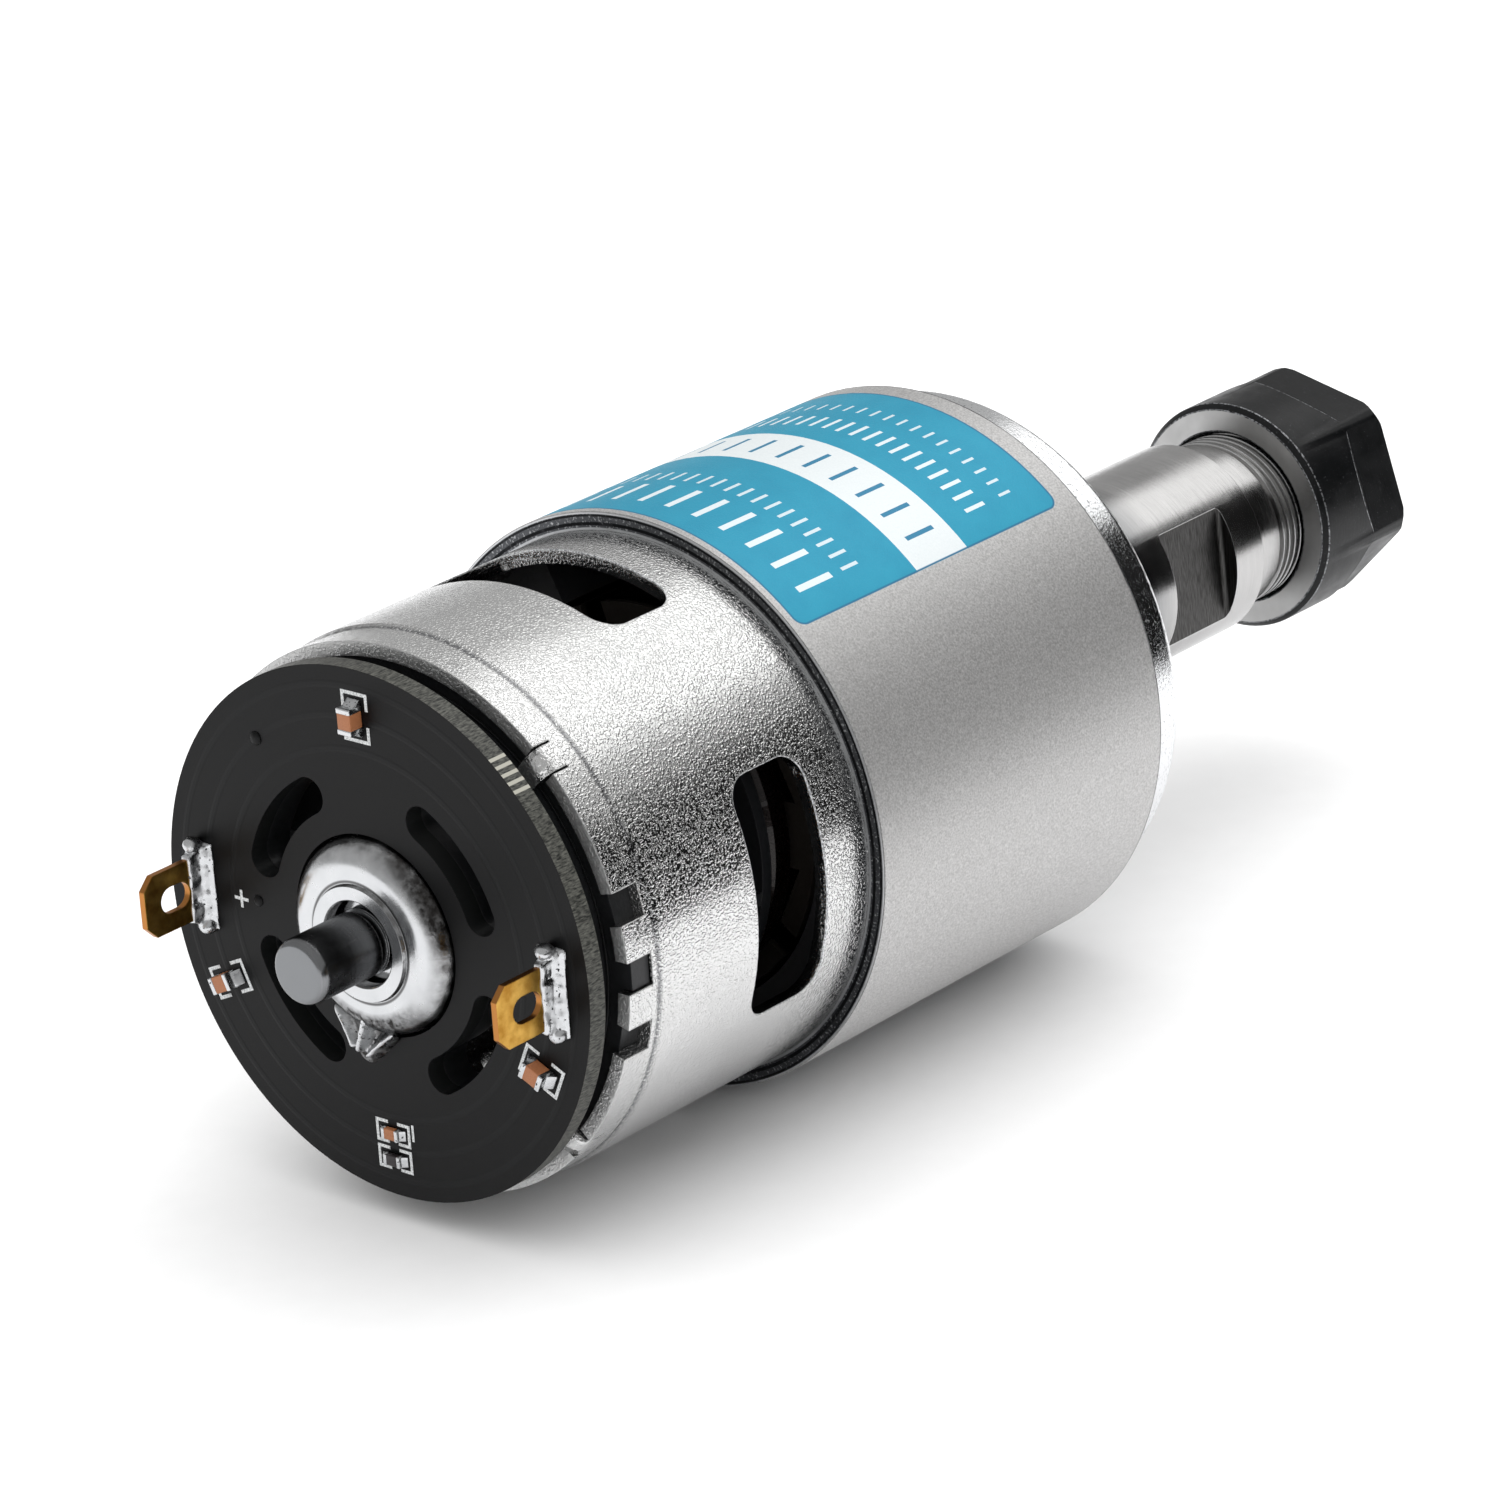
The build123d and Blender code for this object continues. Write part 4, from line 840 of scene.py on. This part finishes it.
def brackets(length, width, line, gap):
    """Two brackets that face each other, at the shaft's line, their length along Y."""
    piece = block((BOARD, 0, 0), (2 * INK, length, width), mark_ink)
    drop(lambda f: abs(f.normal.x) < 0.5)
    drop(lambda f: f.normal.x > 0.5)
    bpy.ops.mesh.select_all(action="SELECT")
    bpy.ops.mesh.inset(thickness=line * MM)
    drop(lambda f: f.calc_center_median().yz.length < 0.1 * MM)
    half_gap = gap / 2 * MM
    for side in (-1, 1):
        bpy.ops.mesh.select_all(action="SELECT")
        bpy.ops.mesh.bisect(plane_co=(0, side * half_gap, 0), plane_no=(0, 1, 0), threshold=1e-7)
    drop(lambda f: abs(f.calc_center_median().y) < half_gap)
    bpy.ops.mesh.select_all(action="SELECT")
    extrude(INK, 0, 0)
    return piece


def print_on_board(piece, name):
    settle(piece, name, "motor_body")


at_capacitors(brackets(3.8, 2.5, 0.26, 1.2), "capacitor_brackets", "board_black")
for number, height_z in enumerate(RESISTOR_Z, 1):
    narrow = brackets(3.3, 1.8, 0.24, 0.9)
    narrow.location.z = height_z * MM
    print_on_board(narrow, f"resistor_brackets_{number}")
bar = block((BOARD - 0.02, -1.95, -14.9), (INK, 0.22, 1.3), mark_ink)
print_on_board(modify(bar, "BEVEL", width=0.01 * MM, segments=1), "polarity_bar")

PLUS_Y, STROKE, ARM = 13.2, 0.26, 0.56
plus = block((BOARD - 0.02, PLUS_Y, 0), (INK, STROKE, STROKE), mark_ink)
plus_middle = Vector((BOARD_X, PLUS_Y * MM, 0))
for axis in (1, 2):
    for side in (1, -1):
        choose("FACE", lambda f: f.normal[axis] * side > 0.9
               and abs((f.calc_center_median() - plus_middle)[3 - axis]) < 0.05 * MM)
        extrude(*(side * ARM if way == axis else 0 for way in range(3)))
print_on_board(modify(plus, "BEVEL", width=0.01 * MM, segments=1), "plus_mark")
for number, (angle, reach, radius) in enumerate(((51.9, 16.5, 0.55), (1.0, 11.5, 0.45)), 1):
    dot = ball((BOARD, 0, 0), radius, 24, 12, board_skin)
    take(dot, edit=True)
    bpy.ops.transform.resize(value=(0.45, 1, 1), center_override=(BOARD_X, 0, 0))
    trim_at_board()
    print_on_board(turned_copy(dot, 0, on_board(reach, angle)), f"test_point_{number}")
    bpy.data.objects.remove(dot)

# %% [markdown]
# The blades are soldered where they pass through the board. Solder wets both metals, so its
# surface is hollow: wide on the board, thin up the blade, with a bead at each end. A block is
# drawn up in steps that get thinner, two beads are set into it, and a voxel remesh melts them
# into one skin, which a cloud texture then makes lumpy.

# %% Solder on the blades
BLADE_Y, BLADE_Z = 17.0, 0.4
# each step of the foot: how far it rises, and how much thinner and shorter it gets
STEPS = ((0.08, 0.82, 0.98), (0.18, 0.78, 0.97), (0.35, 0.74, 0.94), (0.45, 0.78, 0.93),
         (0.5, 0.78, 0.92))
# each bead: its height over the board, its place across and along the foot, and its radius
BEADS = ((0.75, 0.0, 3.25, 0.72), (0.2, -0.35, -3.1, 0.8))
lumps = bpy.data.textures.new("solder_lumps", "CLOUDS")
lumps.noise_scale = 1.3 * MM
lumps.noise_depth = 1


def made_lumpy(piece, height, middle):
    """Pushes the skin in and out by the cloud texture, up to this many millimetres."""
    modify(piece, "DISPLACE", texture=lumps, strength=height * MM, mid_level=middle,
           texture_coords="LOCAL")


def blade_solder(side):
    middle_y, middle_z = side * BLADE_Y, side * BLADE_Z
    base = block((BOARD - 0.03, middle_y, middle_z), (0.1, 2.5, 6.7), tin_solder)
    for rise, thin, short in STEPS:
        choose("FACE", lambda f: f.normal.x < -0.9 and f.calc_center_median().x < BOARD_X)
        extrude(-rise, 0, 0)
        bpy.ops.transform.resize(value=(1, thin, short),
                                 center_override=millimetres(BOARD, middle_y, middle_z))
    beads = []
    for lift, shift, end, radius in BEADS:
        bead = ball((BOARD - lift, middle_y + shift, middle_z + end), radius, 20, 12, tin_solder)
        bead.scale = (1.1, 0.95, 0.8)
        bpy.ops.object.transform_apply(scale=True)
        beads.append(bead)
    made = join(base, *beads)
    modify(made, "REMESH", mode="VOXEL", voxel_size=0.07 * MM)
    modify(made, "SMOOTH", factor=0.5, iterations=8)
    made_lumpy(made, 0.3, 0.45)
    modify(made, "SMOOTH", factor=0.5, iterations=3)
    take(made, edit=True)
    trim_at_board()
    return made


for side, name in ((1, "solder_left"), (-1, "solder_right")):
    settle(blade_solder(side), name, "motor_body", ["terminal_solder"], angle=80)

# %% [markdown]
# The bearing cup is earthed to the board with solder that froze in ridges as the iron was
# lifted, like a webbed foot with three toes. A flat ball is the start. Proportional editing
# drags its rim out to points, and then draws the ridges up, as one would with the mouse.

# %% Earth solder
def line_gap(v, first, last):
    """Distance in millimetres, across the board, from a vertex to a line between two points."""
    here, a, b = (Vector(p) for p in ((v.co.y / MM, v.co.z / MM), first, last))
    share = max(0.0, min(1.0, (here - a).dot(b - a) / (b - a).length_squared))
    return (here - a.lerp(b, share)).length


def pull(test, value, reach, falloff):
    """Moves the vertices that pass the test, and their neighbours within reach less and less."""
    choose("VERT", test)
    bpy.ops.transform.translate(value=millimetres(*value), use_proportional_edit=True,
                                proportional_size=reach * MM, proportional_edit_falloff=falloff)


HEART = Vector((1.2, -7.7))
LOW, LEFT, CREST, RIGHT = (2.0, -10.0), (3.9, -6.0), (0.7, -6.0), (-1.6, -7.0)
blob = ball((BOARD, *HEART), 1.9, 96, 48, spiked_solder, rotation=(0, pi / 2, 0))
bpy.ops.object.transform_apply(location=True, rotation=True)
take(blob, edit=True)
bpy.ops.transform.resize(value=(0.14, 1, 1), center_override=millimetres(BOARD, *HEART))
for tip, reach in ((LOW, 1.5), (LEFT, 1.5), (RIGHT, 1.3)):
    outward = (Vector(tip) - HEART).normalized()
    rim = HEART + outward * 1.8
    way = (0, *(Vector(tip) - rim))
    pull(lambda v: line_gap(v, rim, rim - outward * 0.1) < 0.25, way, reach, "SMOOTH")
for toe, lift in ((LEFT, 0.75), (CREST, 1.15), (RIGHT, 0.95)):
    foot = Vector(LOW).lerp(Vector(toe), 0.3)
    pull(lambda v: v.co.x < BOARD_X and line_gap(v, foot, toe) < 0.14, (-lift, 0, 0), 0.6, "SHARP")
made_lumpy(blob, 0.12, 0.5)
modify(blob, "SMOOTH", factor=0.5, iterations=2)
take(blob, edit=True)
trim_at_board()
settle(blob, "earth_solder", "motor_body", ["ground_solder"], angle=50)

# %% [markdown]
# The holder's nose carries a fine thread, 0.75 mm from crest to crest, on which the nut runs.
# The CAD holder stops at the thread's root. A small wedge is placed on it and the Screw
# modifier sweeps it round and along, which is how a lathe cuts a thread.

# %% Thread
PITCH, TURNS = 0.75, 10
THREAD_START, THREAD_R = 32.75, 6.6
WEDGE = ((-0.2, 0.35), (-0.365, -0.1), (0.365, -0.1), (0.2, 0.35))
start()
bpy.ops.mesh.primitive_circle_add(vertices=len(WEDGE), fill_type="NOTHING",
                                  location=millimetres(THREAD_START, THREAD_R, 0))
ridge = bpy.context.object
ridge.data.materials.append(holder_steel)
for v, corner in zip(ridge.data.vertices, WEDGE):
    v.co = millimetres(*corner, 0)
bpy.ops.object.transform_apply(location=True)
modify(ridge, "SCREW", axis="X", angle=2 * pi, screw_offset=PITCH * MM, iterations=TURNS, steps=72,
       render_steps=72, use_merge_vertices=False)
take(ridge, edit=True)
bpy.ops.mesh.fill_holes(sides=4)
settle(ridge, "holder_thread", "rotor", angle=30)
ends = [round(ridge.bound_box[corner][0] / MM, 2) for corner in (0, 6)]
print("thread from X", ends[0], "to", ends[1], "radius",
      round(max(v.co.yz.length for v in ridge.data.vertices) / MM, 3))

# %% [markdown]
# Every edge of the blackened nut has lost its black to spanners and hands. The CAD nut has
# knife edges. A copy of it is merged into one skin, a Bevel modifier rounds its edges, and the
# same modifier gives the new strips a second finish, which is black worn through to steel.

# %% Nut with worn edges
worn_black, tree, shader, place = finish("worn_black_oxide_edge", "#6E7073", Metallic=0.7)
patch = spread(tree, grain(tree, place, 0.2, 4.0), 0.0, 1.0, 0.4, 0.6)
feed(tree, shader, Base_Color=blend(tree, patch, "#1A1B1D", "#A9ABAE"),
     Roughness=spread(tree, patch, 0.45, 0.28))
relief(tree, shader, patch, 0.008)


def merged_copy(node):
    """A copy of a CAD node whose faces share their corners, open in edit mode."""
    piece = bpy.data.objects.new("copy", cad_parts[node].data.copy())
    bpy.context.scene.collection.objects.link(piece)
    take(piece, edit=True)
    bpy.ops.mesh.remove_doubles(threshold=2e-6)
    bpy.ops.mesh.dissolve_limited(angle_limit=radians(0.4))
    return piece


def rounded_copy(node, width, edge_finish=None):
    """A merged copy of a CAD node, with its edges rounded and perhaps given another finish."""
    piece = merged_copy(node)
    if edge_finish:
        piece.data.materials.append(edge_finish)
    return modify(piece, "BEVEL", width=width * MM, segments=2, limit_method="ANGLE",
                  angle_limit=radians(28), use_clamp_overlap=False,
                  material=len(piece.data.materials) - 1 if edge_finish else -1)


def even_shading(piece):
    """Lets the large faces lead the shading, so that the narrow strips beside them stay smooth."""
    modify(piece, "WEIGHTED_NORMAL", keep_sharp=True, weight=90)


nut = rounded_copy("collet_nut", 0.07, worn_black)
even_shading(settle(nut, "worn_nut", "nut_body", ["collet_nut"], angle=40))

# %% [markdown]
# A coil spring presses each brush on the commutator. The CAD spring is swept with six sides, so
# a copy of it gets rounded edges. When the brush is pushed back the coils close up.

# %% Brush springs
for side in ("left", "right"):
    node = f"brush_spring_{side}"
    low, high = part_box(node)
    coil = settle(rounded_copy(node, 0.07), f"coil_spring_{side}", "motor_body",
                  [node], angle=50)
    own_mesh(coil)

# %% [markdown]
# The press that cuts the windows and notches rolls the sheet's outer edge over and leaves it
# bright. A copy of the can gets a narrow bevel with a bright finish there. The shaft's rear end
# is rounded by hand: its chamfer is drawn out along the shaft and then bevelled until it is round.

# %% Can edges and the shaft's rounded end
sheared_edge, tree, shader, place = finish("sheared_sheet_edge", "#D4D6D8", Metallic=0.6)
nick = grain(tree, place, 0.18)
fresh = spread(tree, nick, 0.0, 1.0, 0.4, 0.6)
feed(tree, shader, Base_Color=blend(tree, fresh, "#8E9093", "#F0F1F2"),
     Roughness=spread(tree, nick, 0.44, 0.3))
relief(tree, shader, nick, 0.01)
can = merged_copy("motor_can")
can.data.materials.append(sheared_edge)
CUTS_BEFORE, OUTER_SKIN = -35 * MM, 20.9 * MM
print("sheared edges:", choose("EDGE", lambda e: (
    len(e.link_faces) == 2 and e.calc_face_angle(0) > radians(50)
    and all(v.co.x < CUTS_BEFORE and v.co.yz.length > OUTER_SKIN for v in e.verts))))
bpy.ops.mesh.bevel(offset=0.09 * MM, segments=2, profile=0.5, material=1)
even_shading(settle(can, "edged_can", "motor_body", ["motor_can"], angle=40))

rod = merged_copy("shaft")
choose("VERT", lambda v: -74.9 * MM < v.co.x < -74.6 * MM)
bpy.ops.transform.translate(value=millimetres(0.22, 0, 0))
print("edges to round:", choose("EDGE", lambda e: (
    all(v.co.x < -74.4 * MM for v in e.verts)
    and abs(e.verts[0].co.x - e.verts[1].co.x) < 0.01 * MM)))
bpy.ops.mesh.bevel(offset=0.24 * MM, segments=4, profile=0.5)
settle(rod, "round_ended_shaft", "rotor", ["shaft"], angle=30)

# %% [markdown]
# The motor lies on its flux ring, so the floor is a flat sheet just under it. It is plain and
# matte, with the faint mottle of real paper, and far wider than the picture. It is exposed to
# white, and polished metal mirrors it a little darker. Two dark cards are seen only by polished
# metal: one leans at the near side and rises towards the nose, one stands far in front.

# %% Floor and cards
start()
bpy.ops.mesh.primitive_grid_add(x_subdivisions=8, y_subdivisions=8, size=8,
                                location=(0, 0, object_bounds()[0].z))
floor = bpy.context.object
floor.name = "floor"
paper, tree, shader, place = finish("matte_paper", "#F7F7F7", Roughness=0.9, Specular_IOR_Level=0.1)
mottled = blend(tree, grain(tree, place, 3.0), "#F5F5F5", "#F9F9F9")
path = add(tree, "LightPath").outputs
# Mirrored rays that have already bounced see the floor mid-grey: painted shade that deepens the
# shadow under the motor.
later = maths(tree, "GREATER_THAN", path["Ray Depth"], 1.5)
mirrored = blend(tree, later, "#EAEAEB", "#8A8A8B")
feed(tree, shader, Base_Color=blend(tree, path["Is Glossy Ray"], mottled, mirrored))
floor.data.materials.append(paper)
felt = finish("black_felt", "#101010", Roughness=1.0, Specular_IOR_Level=0.0)[0]
for name, middle, turned_by, size in (
        ("near_card", (0.18, -0.105, -0.031), (pi / 2, -0.414, 0), (0.7, 0.3, 1)),
        ("front_card", (0.9, -0.05, 0.16), (0, pi / 2, 0), (0.36, 0.9, 1))):
    bpy.ops.mesh.primitive_grid_add(x_subdivisions=2, y_subdivisions=2, size=1, location=middle,
                                    rotation=turned_by)
    card = bpy.context.object
    card.name = name
    card.scale = size
    card.data.materials.append(felt)
    card.visible_camera = card.visible_diffuse = card.visible_shadow = False
print("floor at", round(floor.location.z / MM, 2), "mm")
